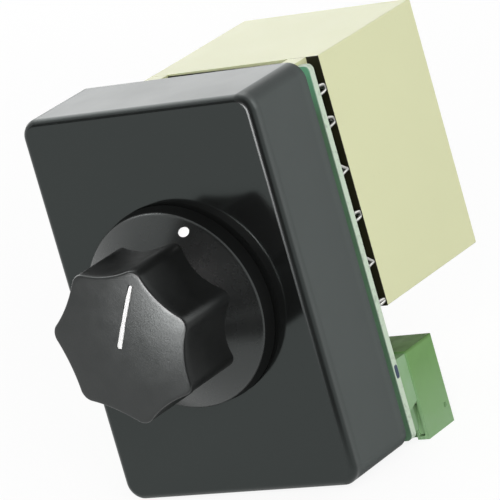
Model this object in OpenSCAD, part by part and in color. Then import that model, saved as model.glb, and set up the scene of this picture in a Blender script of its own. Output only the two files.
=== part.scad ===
// Panel attenuator: a skirted knob turns a tap switch that sets the level of a potted
// transformer. All sizes are in millimetres.
// The origin is the middle of the housing's front face, on the knob's axis.
// +X is right as seen from the front, +Y goes back from the face and +Z is up.

/* [Housing] */
// Width of the moulded housing
housing_w = 48; // [46:0.5:60]
// Height of the moulded housing
housing_h = 69.3; // [68:0.1:80]
// Depth from the front face to the circuit board
housing_d = 17.2; // [16.4:0.1:22]
// Thickness of the side walls
side_wall = 2; // [1.6:0.1:2.6]
// Thickness of the front wall
front_wall = 2.5; // [2.2:0.1:3]
// Radius of the corners, seen from the front
corner_r = 3.2; // [2.8:0.1:5]
// Rounding of the front edge
edge_r = 1.25; // [0.6:0.05:1.6]

/* [Knob] */
// Distance from the housing face to the middle of the knob's top
knob_h = 20.7; // [19:0.1:26]
// Gap between the skirt and the housing face
knob_gap = 0.6; // [0.4:0.1:1.2]
// Number of lobes round the grip
lobe_count = 7; // [6:1:9]
// Radius over the lobes
lobe_r = 13.7; // [13.2:0.1:15]
// Radius of each lobe's own tip
lobe_tip_r = 2.2; // [1.8:0.1:2.6]
// Radius at the middle of each valley
valley_r = 12; // [11.8:0.1:12.4]
// Crown of the top face
dome_h = 1.3; // [0.8:0.1:2]
// Radius of the skirt's rear edge
skirt_r = 17.8; // [17.4:0.1:20]
// Radius of the skirt's front edge
skirt_front_r = 17; // [16.6:0.1:17.3]
// Distance from the housing face to the skirt's front edge
skirt_h = 4; // [3.6:0.1:5]
// Distance from the housing face to where the skirt's cone meets the lobes
cone_h = 6.3; // [5.6:0.1:7.5]
// Wall behind the grip's valleys
grip_wall = 1.8; // [1.4:0.1:2.4]
// Thickness of the knob's top
top_wall = 2.9; // [2.4:0.1:3.6]
// Width of the skirt's edge around its hollow
skirt_wall = 2.2; // [1.6:0.1:3]
// Depth of the skirt's hollow, from the housing face
hollow_h = 2.9; // [2.6:0.1:3.3]
// Thickness of the ribs inside the grip
rib_t = 1.2; // [0.8:0.1:1.6]
// Clockwise angle of the pointer from straight up, a whole number of steps
pointer_angle = 30; // [-150:30:150]
// Length of the pointer line
pointer_l = 12; // [9:0.5:12.5]
// Width of the pointer line
pointer_w = 0.7; // [0.5:0.1:1.2]
// Distance of the skirt's dot from the axis
dot_pos = 15.5; // [15.2:0.1:15.7]
// Diameter of the skirt's dot
dot_d = 2; // [1.6:0.1:2.2]
// Depth of the white marks
mark_depth = 0.3; // [0.2:0.05:0.5]
// Diameter of the brass insert
bush_d = 9.5; // [9:0.1:10.4]
// Thickness of the knob's plastic round the insert
hub_wall = 1.8; // [1.4:0.1:2.2]
// Diameter of the grub screw
grub_d = 4; // [3:0.1:4.4]
// Length of the grub screw
grub_l = 6; // [5:0.5:7]

/* [Switch] */
// Diameter of the shaft
shaft_d = 6.35; // [6.3:0.05:6.6]
// Depth of the flat on the shaft
flat_depth = 1.2; // [0.8:0.1:1.6]
// Width of the shaft's square drive
drive_w = 4.4; // [3.8:0.1:4.4]
// Diameter of the shaft's rear spigot
spigot_d = 3; // [2.4:0.1:3.4]
// Length of the spigot inside the base
spigot_l = 2.4; // [1.6:0.1:2.6]
// Outside diameter of the threaded bushing
bushing_d = 9.525; // [9.4:0.025:10]
// Length of the bushing in front of the housing face
bushing_l = 8; // [7:0.1:8.6]
// Thickness of the staked flange behind the plate
flange_t = 0.5; // [0.4:0.1:0.6]
// Radial width of the staked flange
flange_w = 1.7; // [1.2:0.1:2.2]
// Thickness of the retaining clip
clip_t = 0.6; // [0.5:0.05:0.7]
// Diameter at the bottom of the clip groove
groove_d = 5; // [4.6:0.1:5.4]
// Outside diameter of the retaining clip
clip_d = 10; // [9:0.1:11]
// Opening of the retaining clip
clip_slot = 3.6; // [3:0.1:4.2]
// Width of the nut across its flats
nut_af = 12.7; // [12.4:0.1:14]
// Thickness of the nut
nut_t = 2.4; // [2:0.1:3]
// Outside diameter of the lock washer
washer_d = 15; // [14:0.1:16]
// Thickness of the lock washer
washer_t = 0.6; // [0.4:0.1:0.8]
// Radial length of the washer's teeth
tooth_l = 1.1; // [0.8:0.1:1.4]
// Thickness of the steel front plate and its legs
plate_t = 1.2; // [1:0.1:1.4]
// Width of the plate's legs
leg_w = 4; // [3:0.1:5]
// Width of the plate's locating tab
tab_w = 3; // [2:0.1:4]
// Height of the locating tab
tab_h = 1.3; // [1:0.1:1.4]
// Distance of the locating tab from the axis
tab_pos = 11.8; // [11:0.1:12.5]
// Outside diameter of the switch body
body_d = 30; // [29.4:0.1:32]
// Length of the switch body
body_l = 9.5; // [9.2:0.1:10]
// Wall of the switch body
body_wall = 1.7; // [1.4:0.1:1.8]
// Radial distance from the body's outside to the detent wheel's teeth
wheel_in = 7; // [6.8:0.1:7.4]
// Thickness of the detent wheel
wheel_t = 3.2; // [3:0.1:3.4]
// Depth of the detent notches
notch_depth = 0.7; // [0.4:0.05:0.9]
// Diameter of the detent balls
ball_d = 3.2; // [2.8:0.1:3.4]
// Turns of each detent spring
spring_turns = 4; // [3:1:5]
// Wire diameter of the detent springs
spring_wire = 0.36; // [0.3:0.02:0.4]
// Angle between two switch positions
step_angle = 30; // [30:1:30]
// Number of switch positions
positions = 11; // [8:1:11]
// Radial gap between the rotor and the stop pin
rotor_room = 0.8; // [0.6:0.1:1.2]
// Thickness of the rotor
rotor_t = 2.8; // [2.4:0.1:3]
// Radial gap between the stop lug or the stop pin and the body's wall
lug_room = 1.1; // [0.8:0.1:1.4]
// Diameter of the stop pin
stop_d = 2.4; // [2:0.1:2.8]
// Distance of the tap contacts inside the stop pin's circle
contact_in = 1.5; // [1.2:0.1:1.8]
// Diameter of the tap contacts
contact_d = 2.6; // [2:0.1:2.8]
// Height of the contacts above the base
contact_h = 0.4; // [0.3:0.05:0.5]
// Diameter of the contacts' pins
pin_d = 0.9; // [0.7:0.05:1.1]
// Inside diameter of the common ring
ring_in_d = 6.8; // [6.2:0.1:7.2]
// Outside diameter of the common ring
ring_out_d = 10.8; // [10:0.1:11.2]
// Width of the wiper strip
wiper_w = 2.6; // [2:0.1:3.2]
// Thickness of the wiper strip
wiper_t = 0.3; // [0.2:0.05:0.35]
// Diameter of the wiper's dimples
dimple_d = 1.6; // [1.2:0.1:2]

/* [Circuit board] */
// Distance that the board reaches past each side of the housing
board_over = 0.85; // [0:0.05:1.5]
// Distance that the board is shorter than the housing, at each end
board_short = 1.05; // [0.6:0.05:1.5]
// Corner radius of the board
board_r = 1; // [0.5:0.1:2]
// Thickness of the circuit board
board_t = 1.6; // [1.2:0.1:2]
// Length of the pins that stand out of the board
pin_out = 1; // [0.6:0.1:1.2]
// Diameter of the board screws
screw_d = 2.9; // [2.5:0.1:3.2]
// Length of the board screws in the housing
screw_l = 8; // [6:0.5:9]
// Diameter of the board screws' heads
head_d = 5.4; // [4.8:0.1:5.6]
// Height of the board screws' heads
head_h = 1.9; // [1.6:0.1:2.2]
// Diameter of the housing's screw bosses
boss_d = 6; // [5.4:0.1:6.4]
// Distance of the screws from the housing's side faces
screw_inset = 4; // [3.6:0.1:4.4]
// Distance of the left screws from the housing's top and bottom faces
screw_drop = 5.2; // [4.6:0.1:6]

/* [Transformer] */
// Width of the case
case_w = 35; // [34:0.1:38]
// Space between the case and the terminal block
case_space = 8.7; // [7.5:0.1:10]
// Depth of the case
case_d = 30.6; // [29.5:0.1:36]
// Wall of the case
case_wall = 0.6; // [0.4:0.05:0.8]
// Gap between the board and the case
case_gap = 2.3; // [2:0.1:3]
// Distance from the case's right side to the board's right edge
case_in = 0.05; // [0:0.05:0.5]
// Width of the case's feet
foot_w = 3.7; // [3:0.1:5]
// Distance of the right feet from the case's right side
foot_in = 2.5; // [2.2:0.1:4]
// Gap between the laminations and the case's side walls
core_gap = 0.9; // [0.6:0.1:1.5]
// Thickness of the lamination stack
stack_t = 14; // [12:0.5:15]
// Wall of the bobbin
bobbin_wall = 0.8; // [0.6:0.1:1]
// Diameter of the tap leads
lead_d = 0.64; // [0.5:0.02:0.8]
// Distance between the two ends of a tap lead
lead_fork = 1.8; // [1.4:0.1:2.2]
// Distance of the tap leads' roots from the case's right side
lead_in = 1.2; // [1.1:0.1:1.6]
// Distance of the tap leads' forks from the case's right side
lead_edge = 0.38; // [0.36:0.02:0.6]

/* [Terminal block] */
// Distance between two terminals
pitch = 5.08; // [5:0.01:5.2]
// Thickness of the block's end walls
end_wall = 1.2; // [1.1:0.1:1.6]
// Height of the block from the board
block_h = 11.8; // [11.6:0.1:13]
// Length of the block along the board
block_l = 16.1; // [15.5:0.1:17]
// Overhang of the block below the board's bottom edge
block_over = 1.7; // [1:0.1:2.5]
// Height of the block's foot
foot_h = 3.3; // [3:0.1:3.6]
// Step between the foot and the block's top
foot_step = 0.4; // [0.2:0.1:0.6]
// Depth of the foot's side below the block's side
foot_side = 0.3; // [0.2:0.05:0.4]
// Height of the cut in the foot's lower edge
foot_cut = 2; // [1.6:0.1:2.2]
// Length of the foot's side panel
panel_l = 8.6; // [8:0.1:9]
// Depth of the side pocket below the foot's side panel
pocket_depth = 0.9; // [0.6:0.05:1]
// Wall below the side pocket
pocket_wall = 1; // [0.8:0.1:1.4]
// Distance of the clamp screws from the wire side
clamp_pos = 8.3; // [8:0.1:8.6]
// Diameter of the wire entries
wire_d = 2.8; // [2.4:0.1:2.9]
// Depth of the flare at each wire entry
flare = 0.6; // [0.4:0.1:0.8]
// Diameter of the clamp screws' heads
clamp_head_d = 3.8; // [3.4:0.1:4]
// Height of the clamp screws' heads
clamp_head_h = 1.6; // [1.4:0.1:1.8]
// Depth of the heads below the block's back
clamp_sink = 0.6; // [0.4:0.1:0.8]
// Diameter of the clamp screws
clamp_d = 2.5; // [2.2:0.1:2.6]
// Width of a clamp cage
cage_w = 4; // [3.8:0.1:4.1]
// Length of a clamp cage along the wire
cage_l = 4.4; // [4:0.1:4.6]
// Side wall of a clamp cage
cage_wall = 0.6; // [0.5:0.05:0.7]
// Floor of a clamp cage
cage_floor = 1; // [0.8:0.1:1.1]
// Threaded top of a clamp cage
cage_top = 1.2; // [1:0.1:1.3]
// Space for the wire in an open clamp
wire_space = 3; // [2.9:0.1:3.1]
// Thickness of a clamping bar and its pin
bar_t = 0.8; // [0.6:0.05:0.9]
// Travel of a clamp cage
clamp_travel = 2; // [1.5:0.1:2]

/* [Hidden] */
$fn = 72;

// Radial clearance of a turning fit
run_fit = 0.04;
// Radial clearance of a fixed fit
set_fit = 0.02;
// Clearance of loose holes, pockets and slides
loose_fit = 0.1;
// Gap between turning and standing faces
face_gap = 0.15;
// Extra reach of a cut past a face
cut = 1;

// Depths along Y, from the front
plate_y = front_wall;
body_y = plate_y + plate_t;
wheel_y = body_y + flange_t + loose_fit;
rotor_gap = 1.1;
rotor_y = wheel_y + wheel_t + rotor_gap;
rotor_back = rotor_y + rotor_t;
base_y = body_y + body_l;
base_rim = 0.6;
base_face = base_y - base_rim;
contact_y = base_face - contact_h;
board_y = housing_d;
board_back = board_y + board_t;
pin_end = board_back + pin_out;

// Knob
half_pitch = 180 / lobe_count;
lobe_pos = lobe_r - lobe_tip_r;
tip_reach = lobe_pos * cos(half_pitch);
valley_arc = (pow(lobe_pos, 2) + pow(valley_r, 2) - 2 * tip_reach * valley_r - pow(lobe_tip_r, 2))
    / (2 * (lobe_tip_r - valley_r + tip_reach));
valley_pos = valley_r + valley_arc;
// Where a lobe's arc meets a valley's arc, and the small cut that joins them
meet = [0, lobe_pos] + lobe_tip_r / (lobe_tip_r + valley_arc)
    * (valley_pos * [sin(half_pitch), cos(half_pitch)] - [0, lobe_pos]);
tangent_r = norm(meet);
blend = 0.01;
dome_r = (pow(lobe_r, 2) + pow(dome_h, 2)) / (2 * dome_h);
cone_slope = (cone_h - skirt_h) / (skirt_front_r - lobe_r);
cone_sink = 1;
cone_in_r = valley_r - cone_sink;
cone_in_h = skirt_h + (skirt_front_r - cone_in_r) * cone_slope;
grip_in_r = valley_r - grip_wall;
hub_r = bush_d / 2 + hub_wall;
clip_h = bushing_l + face_gap;
hub_room = 0.5;
hub_h = clip_h + clip_t + hub_room;
bush_h = knob_h - top_wall;
grub_h = (hub_h + bush_h) / 2;
rib_step = 1;
key_depth = 2;
shaft_gap = 0.2;
flat_pos = shaft_d / 2 - flat_depth;

// Switch
hub_ring = 1.2;
wheel_hub_r = drive_w / sqrt(2) + hub_ring;
carrier_t = wheel_t + rotor_gap;
wheel_d = body_d - 2 * wheel_in;
wheel_room = 1.2;
carrier_in = wheel_d / 2 + wheel_room;
body_in = body_d / 2 - body_wall;
lug_r = body_in - lug_room;
stop_pos = lug_r - stop_d / 2;
rotor_d = 2 * (stop_pos - stop_d / 2 - rotor_room);
contact_pos = stop_pos - contact_in;
ball_y = wheel_y + wheel_t / 2;
ball_pos = wheel_d / 2 + loose_fit + ball_d / 2;
spring_seat = 1;
spring_end = body_d / 2 - spring_seat;
spring_start = ball_pos + ball_d / 2 + loose_fit / 2;
notch_play = 0.3;
notch_r = ball_d / 2 + notch_play;
tooth_slot = 1;
stop_half = 180 - step_angle * (positions - 1) / 2;
lug_half = stop_half - asin((stop_d / 2 + face_gap) / stop_pos);
first_position = -step_angle * (positions - 1) / 2;
ring_pos = (ring_in_d + ring_out_d) / 4;
leg_x = body_d / 2 + loose_fit;

// Corner radius inside the housing, and the room past the board screws' ends
inner_r = 1;
screw_room = 1;

// Board
board_w = housing_w + 2 * board_over;
board_h = housing_h - 2 * board_short;
board_bottom = -board_h / 2;
board_top = board_h / 2;
screw_x = housing_w / 2 - screw_inset;
screw_z = housing_h / 2 - screw_drop;

// Transformer
case_h = board_h + case_wall - (block_l - block_over) - case_space;
case_x1 = board_w / 2 - case_in;
case_x0 = case_x1 - case_w;
case_z1 = board_top + case_wall;
case_z0 = case_z1 - case_h;
case_y = board_back + case_gap;
case_back = case_y + case_d;
// Width of an outer limb of the laminations
lam = min((case_w - 2 * case_wall - 2 * core_gap) / 5, (case_h - 2 * case_wall - 2 * core_gap) / 6);
core_x = (case_x0 + case_x1) / 2;
core_y = (case_y + case_back - case_wall) / 2;
core_z = (case_z0 + case_z1) / 2;
lead_x = case_x1 - lead_in;
lead_root = 1.5;
lead_out = 0.5;
lead_bend = 0.4;
root_r = lead_d / 2 - run_fit;
coil_play = 0.3;
coil_corner = 2;
// Distances of the tap leads below the case's top, as shares of its height
lead_drops = [0.123, 0.2528, 0.443, 0.6286, 0.8143, 0.9754];

// Terminal block
ways = 4;
block_out = 0.05;
block_x1 = board_w / 2 + block_out;
block_x0 = block_x1 - ways * pitch - 2 * end_wall;
block_z0 = board_bottom - block_over;
block_z1 = block_z0 + block_l;
block_back = board_back + block_h;
foot_y = board_back + foot_h;
panel_z = block_z1 - panel_l;
pocket_slope = 1.4;
clamp_z = block_z0 + clamp_pos;
cage_lift = 0.8;
cage_y = board_back + cage_lift;
wire_y = cage_y + cage_floor + wire_space / 2;
strip_y = cage_y + cage_floor + wire_space;
cut_y = wire_y - wire_d / 2 - flare - loose_fit;
cage_roof = strip_y + bar_t + loose_fit;
clamp_head_y = block_back - clamp_sink - clamp_head_h;
chamber_y = cage_roof + cage_top + clamp_travel + loose_fit;
chamber_x = cage_w / 2 + loose_fit;
chamber_z0 = clamp_z - cage_l / 2 - loose_fit;
tail_z = clamp_z + cage_l / 2 + face_gap;
chamber_z1 = tail_z + bar_t + loose_fit;
bar_w = cage_w - 2 * cage_wall - 4 * loose_fit;
tail_w = 1;
clamp_slot = 0.7;

// Middle of one terminal, counted from the right
function way_x(i) = block_x1 - end_wall - pitch * (i + 0.5);

// Box between two corners
module block(low, high) translate(low) cube(high - low);

// Flat outline in X and Z, drawn out between two depths
module slab_y(y0, y1) translate([0, y1, 0]) rotate([90, 0, 0]) linear_extrude(y1 - y0) children();

// Round bar along Y between two depths
module rod_y(r, y0, y1) translate([0, y0, 0]) rotate([-90, 0, 0]) cylinder(h = y1 - y0, r = r);

// Outline of radius and depth, turned round the Y axis
module turn_y() rotate([-90, 0, 0]) rotate_extrude() children();

// Turn clockwise about the knob's axis, seen from the front
module clock(angle) rotate([0, angle, 0]) children();

// Round wire between two points
module wire(a, b, r) {
    d = b - a;
    translate(a) rotate([0, acos(d.z / norm(d)), atan2(d.y, d.x)]) cylinder(h = norm(d), r = r);
}

// Rectangle with round corners, centred
module round_rect(w, h, r) {
    square([w - 2 * r, h], center = true);
    square([w, h - 2 * r], center = true);
    for (x = [-1, 1], y = [-1, 1]) translate([x * (w / 2 - r), y * (h / 2 - r)]) circle(r);
}

// Half section of the housing with its round front edge
module edge_section(half) {
    translate([0, edge_r]) square([half, housing_d - edge_r]);
    square([half - edge_r, housing_d]);
    translate([half - edge_r, edge_r]) circle(edge_r);
}

// Whole section of the housing
module full_section(half) {
    edge_section(half);
    mirror([1, 0]) edge_section(half);
}

// Outside of the housing
module housing_form() {
    rotate([0, 90, 0]) linear_extrude(housing_w - 2 * corner_r, center = true) full_section(housing_h / 2);
    linear_extrude(housing_h - 2 * corner_r, center = true) full_section(housing_w / 2);
    for (x = [-1, 1], z = [-1, 1])
        translate([x * (housing_w / 2 - corner_r), 0, z * (housing_h / 2 - corner_r)])
            turn_y() edge_section(corner_r);
}

// The places of the board screws
module at_board_screws() {
    for (z = [-1, 1]) translate([-screw_x, 0, z * screw_z]) children();
    translate([screw_x, 0, (case_z0 + block_z1) / 2]) children();
}

module front_housing() color([0.12, 0.12, 0.12]) difference() {
    union() {
        difference() {
            housing_form();
            slab_y(front_wall, housing_d + cut)
                round_rect(housing_w - 2 * side_wall, housing_h - 2 * side_wall, inner_r);
        }
        at_board_screws() rod_y(boss_d / 2, front_wall / 2, housing_d);
    }
    at_board_screws() rod_y(screw_d / 2 + set_fit, housing_d - screw_l - screw_room, housing_d + cut);
    rod_y(bushing_d / 2 + loose_fit, -cut, front_wall + cut);
    block([-tab_w / 2 - loose_fit, front_wall - tab_h - loose_fit, tab_pos - plate_t / 2 - loose_fit],
        [tab_w / 2 + loose_fit, front_wall + cut, tab_pos + plate_t / 2 + loose_fit]);
}

module circuit_board() color([0.25, 0.42, 0.28]) difference() {
    slab_y(board_y, board_back) round_rect(board_w, board_h, board_r);
    at_board_screws() rod_y(screw_d / 2 + loose_fit, board_y - cut, board_back + cut);
    at_taps() rod_y(pin_d / 2 + loose_fit, board_y - cut, board_back + cut);
    at_common() rod_y(pin_d / 2 + loose_fit, board_y - cut, board_back + cut);
    for (x = [-1, 1])
        block([x * (leg_x + plate_t / 2) - plate_t / 2 - loose_fit, board_y - cut, -leg_w / 2 - loose_fit],
            [x * (leg_x + plate_t / 2) + plate_t / 2 + loose_fit, board_back + cut, leg_w / 2 + loose_fit]);
    for (i = [0 : ways - 1])
        translate([way_x(i), 0, tail_z + bar_t / 2])
            rod_y(norm([tail_w, bar_t]) / 2 + loose_fit, board_y - cut, board_back + cut);
}

module board_screws() color([0.75, 0.75, 0.78]) at_board_screws() difference() {
    union() {
        rod_y(screw_d / 2, board_y - screw_l, board_back);
        rod_y(head_d / 2, board_back, board_back + head_h);
    }
    for (a = [0, 90])
        clock(a) block([-head_d / 3, board_back + head_h / 2, -head_d / 16],
            [head_d / 3, board_back + head_h + cut, head_d / 16]);
}

// Outline of the grip, with one lobe straight up
module lobed_outline() difference() {
    union() {
        circle(tangent_r);
        for (i = [0 : lobe_count - 1])
            rotate(2 * i * half_pitch) translate([0, lobe_pos]) circle(lobe_tip_r);
    }
    for (i = [0 : lobe_count - 1])
        rotate((2 * i + 1) * half_pitch) translate([0, valley_pos]) circle(valley_arc + blend);
}

// Ball whose front is the knob's crowned top
module dome(sink) translate([0, dome_r - knob_h, 0]) sphere(dome_r - sink, $fn = 240);

// Solid form of the skirt
module skirt_form() turn_y() polygon([
    [0, -knob_gap], [skirt_r, -knob_gap], [skirt_front_r, -skirt_h],
    [cone_in_r, -cone_in_h], [0, -cone_in_h]
]);

// Box that marks out the pointer line
module pointer_box()
    block([-pointer_w / 2, -knob_h - cut, 0], [pointer_w / 2, dome_h + mark_depth - knob_h, pointer_l]);

// Round bar that marks out the skirt's dot
module dot_bar() translate([0, 0, dot_pos]) rod_y(dot_d / 2, -cone_in_h - cut, -skirt_h + cut);

// Hollow behind the grip and the skirt, clear of the hub and its ribs
module knob_hollow() {
    rod_y(skirt_r - skirt_wall, -hollow_h, 0);
    difference() {
        rod_y(grip_in_r, -bush_h, 0);
        rod_y(hub_r, -knob_h, -hub_h);
        for (i = [0 : lobe_count - 1])
            clock(2 * i * half_pitch)
                block([-rib_t / 2, -knob_h, 0], [rib_t / 2, -hub_h - rib_step, lobe_r]);
    }
}

module knob() color([0.15, 0.15, 0.15]) clock(pointer_angle) difference() {
    union() {
        skirt_form();
        intersection() {
            slab_y(-knob_h, -skirt_h) lobed_outline();
            dome(0);
        }
    }
    knob_hollow();
    rod_y(bush_d / 2 + set_fit, -bush_h, 0);
    translate([0, -grub_h, 0]) rotate([180, 0, 0]) cylinder(h = lobe_r, r = grub_d / 2 + loose_fit);
    difference() {
        pointer_box();
        dome(mark_depth);
    }
    difference() {
        dot_bar();
        translate([0, mark_depth, 0]) skirt_form();
    }
}

module pointer_line() color("white") clock(pointer_angle) intersection() {
    pointer_box();
    difference() {
        dome(0);
        dome(mark_depth);
    }
}

module skirt_dot() color("white") clock(pointer_angle) intersection() {
    dot_bar();
    difference() {
        skirt_form();
        translate([0, mark_depth, 0]) skirt_form();
    }
}

module knob_bush() color([0.78, 0.62, 0.3]) clock(pointer_angle) difference() {
    rod_y(bush_d / 2, -bush_h, -hub_h);
    rod_y(shaft_d / 2 + set_fit, -bush_h - cut, -hub_h + cut);
    translate([0, -grub_h, 0]) rotate([180, 0, 0]) cylinder(h = bush_d, r = grub_d / 2 + set_fit);
}

module knob_set_screw() color([0.3, 0.3, 0.32]) clock(pointer_angle)
    translate([0, -grub_h, -flat_pos]) rotate([180, 0, 0]) difference() {
        cylinder(h = grub_l, r = grub_d / 2);
        translate([0, 0, grub_l - key_depth])
            cylinder(h = key_depth + cut, r = grub_d / 4 / cos(30), $fn = 6);
    }

// Square drive of the shaft between two depths
module drive(y0, y1, w) block([-w / 2, y0, -w / 2], [w / 2, y1, w / 2]);

module switch_shaft() color([0.72, 0.72, 0.74]) clock(pointer_angle) difference() {
    union() {
        rod_y(shaft_d / 2, -bush_h + shaft_gap, wheel_y);
        drive(wheel_y, rotor_back, drive_w);
        rod_y(spigot_d / 2, rotor_back, base_face + spigot_l);
    }
    difference() {
        rod_y(shaft_d, -clip_h - clip_t, -clip_h);
        rod_y(groove_d / 2, -clip_h - clip_t, -clip_h);
    }
    block([-shaft_d, -knob_h, -shaft_d], [shaft_d, -hub_h, -flat_pos]);
}

module shaft_clip() color([0.55, 0.55, 0.58]) clock(pointer_angle) difference() {
    rod_y(clip_d / 2, -clip_h - clip_t, -clip_h);
    rod_y(groove_d / 2 + set_fit, -clip_h - clip_t - cut, -clip_h + cut);
    block([-clip_slot / 2, -clip_h - clip_t - cut, 0], [clip_slot / 2, -clip_h + cut, clip_d]);
}

module switch_bushing() color([0.8, 0.66, 0.36]) difference() {
    union() {
        rod_y(bushing_d / 2, -bushing_l, body_y);
        rod_y(bushing_d / 2 + flange_w, body_y, body_y + flange_t);
    }
    rod_y(shaft_d / 2 + run_fit, -bushing_l - cut, body_y + flange_t + cut);
}

module switch_plate() color([0.7, 0.7, 0.72]) difference() {
    union() {
        rod_y(body_d / 2, plate_y, body_y);
        block([-leg_x - plate_t, plate_y, -leg_w / 2], [leg_x + plate_t, body_y, leg_w / 2]);
        for (x = [-1, 1])
            block([x * (leg_x + plate_t / 2) - plate_t / 2, plate_y, -leg_w / 2],
                [x * (leg_x + plate_t / 2) + plate_t / 2, pin_end, leg_w / 2]);
        block([-tab_w / 2, plate_y - tab_h, tab_pos - plate_t / 2],
            [tab_w / 2, body_y, tab_pos + plate_t / 2]);
    }
    rod_y(bushing_d / 2 + set_fit, plate_y - cut, body_y + cut);
}

module panel_nut() color([0.75, 0.72, 0.62]) difference() {
    translate([0, -washer_t, 0]) rotate([90, 0, 0]) cylinder(h = nut_t, r = nut_af / 2 / cos(30), $fn = 6);
    rod_y(bushing_d / 2 + set_fit, -washer_t - nut_t - cut, cut);
}

module lock_washer() color([0.6, 0.6, 0.62]) difference() {
    rod_y(washer_d / 2, -washer_t, 0);
    rod_y(bushing_d / 2 + loose_fit, -washer_t - cut, cut);
    for (a = [0 : 30 : 330])
        clock(a) block([-tooth_slot / 2, -washer_t - cut, 0],
            [tooth_slot / 2, cut, bushing_d / 2 + loose_fit + tooth_l]);
}

module switch_body() color([0.2, 0.2, 0.22]) difference() {
    rod_y(body_d / 2, body_y, base_y);
    rod_y(carrier_in, body_y - cut, base_y + cut);
    rod_y(body_in, body_y + carrier_t, base_y + cut);
    for (a = [90, 270])
        clock(a) translate([0, ball_y, 0]) cylinder(h = spring_end, r = ball_d / 2 + loose_fit);
}

module detent_wheel() color([0.85, 0.83, 0.76]) clock(pointer_angle) difference() {
    union() {
        rod_y(wheel_d / 2, wheel_y, wheel_y + wheel_t);
        rod_y(wheel_hub_r, wheel_y, rotor_y);
    }
    for (a = [0 : step_angle : 359])
        clock(a) translate([0, 0, wheel_d / 2 - notch_depth + notch_r])
            rod_y(notch_r, wheel_y - cut, wheel_y + wheel_t + cut);
    drive(wheel_y - cut, rotor_y + cut, drive_w + 2 * set_fit);
}

module detent_balls() color([0.8, 0.8, 0.82])
    for (a = [90, 270]) clock(a) translate([0, ball_y, ball_pos]) sphere(ball_d / 2);

// Points of one ring of the spring's wire
function spring_ring(t) = [for (k = [0 : 5])
    let (turn = 360 * spring_turns * t, tilt = 60 * k)
    let (r = ball_d / 2 - spring_wire / 2 - loose_fit + spring_wire / 2 * cos(tilt))
    [r * cos(turn), r * sin(turn),
        spring_start + spring_wire / 2 + (spring_end - spring_start - spring_wire) * t
            + spring_wire / 2 * sin(tilt)]];

// Coil spring along Z, as a swept ring
module coil_spring() {
    rings = spring_turns * 14;
    polyhedron(
        points = [for (j = [0 : rings]) each spring_ring(j / rings)],
        faces = concat(
            [[for (k = [0 : 5]) k]],
            [for (j = [0 : rings - 1], k = [0 : 5])
                [6 * j + k, 6 * j + 6 + k, 6 * j + 6 + (k + 1) % 6, 6 * j + (k + 1) % 6]],
            [[for (k = [5 : -1 : 0]) 6 * rings + k]]
        ));
}

module detent_springs() color([0.7, 0.7, 0.72])
    for (a = [90, 270]) clock(a) translate([0, ball_y, 0]) coil_spring();

module stop_pin() color([0.7, 0.7, 0.72])
    clock(180) translate([0, 0, stop_pos]) rod_y(stop_d / 2, rotor_y, base_face + spigot_l);

// Stop lug, a sector that reaches out from the rotor
module lug_outline() intersection() {
    circle(lug_r);
    polygon([[0, 0], for (s = [-1, 1]) body_d / cos(lug_half) * [s * sin(lug_half), cos(lug_half)]]);
}

module switch_rotor() color([0.88, 0.86, 0.8]) clock(pointer_angle) difference() {
    union() {
        rod_y(rotor_d / 2, rotor_y, rotor_back);
        slab_y(rotor_y, rotor_back) lug_outline();
    }
    drive(rotor_y - cut, rotor_back + cut, drive_w + 2 * set_fit);
}

module wiper_contact() color([0.8, 0.6, 0.3]) clock(pointer_angle) {
    difference() {
        block([-wiper_w / 2, rotor_back, ring_in_d / 4],
            [wiper_w / 2, rotor_back + wiper_t, contact_pos + wiper_w / 2]);
        rod_y(spigot_d / 2 + loose_fit, rotor_back - cut, rotor_back + wiper_t + cut);
    }
    for (z = [ring_pos, contact_pos])
        translate([0, 0, z]) rod_y(dimple_d / 2, rotor_back + wiper_t, contact_y - face_gap);
}

// The places of the tap contacts
module at_taps() for (i = [0 : positions - 1])
    clock(first_position + i * step_angle) translate([0, 0, contact_pos]) children();

// The place of the common ring's pin
module at_common() clock(180) translate([0, 0, ring_pos]) children();

module switch_base() color([0.2, 0.2, 0.22]) difference() {
    union() {
        rod_y(body_d / 2, base_y, board_y);
        rod_y(body_in - loose_fit, base_face, base_y);
    }
    rod_y(spigot_d / 2 + run_fit, base_face - cut, base_face + spigot_l + loose_fit);
    clock(180) translate([0, 0, stop_pos])
        rod_y(stop_d / 2 + set_fit, base_face - cut, base_face + spigot_l);
    at_taps() rod_y(pin_d / 2 + set_fit, base_face - cut, board_y + cut);
    at_common() rod_y(pin_d / 2 + set_fit, base_face - cut, board_y + cut);
}

module fixed_contacts() color([0.82, 0.8, 0.74]) at_taps() {
    rod_y(contact_d / 2, contact_y, base_face);
    rod_y(pin_d / 2, base_face, pin_end);
}

module common_contact() color([0.82, 0.8, 0.74]) {
    difference() {
        rod_y(ring_out_d / 2, contact_y, base_face);
        rod_y(ring_in_d / 2, contact_y - cut, base_face + cut);
    }
    at_common() rod_y(pin_d / 2, base_face, pin_end);
}

module transformer_case() color([0.86, 0.86, 0.72]) {
    difference() {
        block([case_x0, case_y, case_z0], [case_x1, case_back, case_z1]);
        block([case_x0 + case_wall, case_y - cut, case_z0 + case_wall],
            [case_x1 - case_wall, case_back - case_wall, case_z1 - case_wall]);
    }
    for (x = [case_x0, case_x1 - foot_in - foot_w]) {
        block([x, board_back, case_z0], [x + foot_w, case_y, case_z0 + case_wall]);
        block([x, board_y + loose_fit, board_top], [x + foot_w, case_y, case_z1]);
    }
}

// Block of all laminations, windows included
module core_block() translate([core_x, core_y, core_z]) cube([5 * lam, stack_t, 6 * lam], center = true);

// Outline of a box round the centre limb, in Y and Z, drawn out along X
module limb_box(x0, x1, grow_y, grow_z)
    block([x0, core_y - stack_t / 2 - grow_y, core_z - lam - grow_z],
        [x1, core_y + stack_t / 2 + grow_y, core_z + lam + grow_z]);

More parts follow.
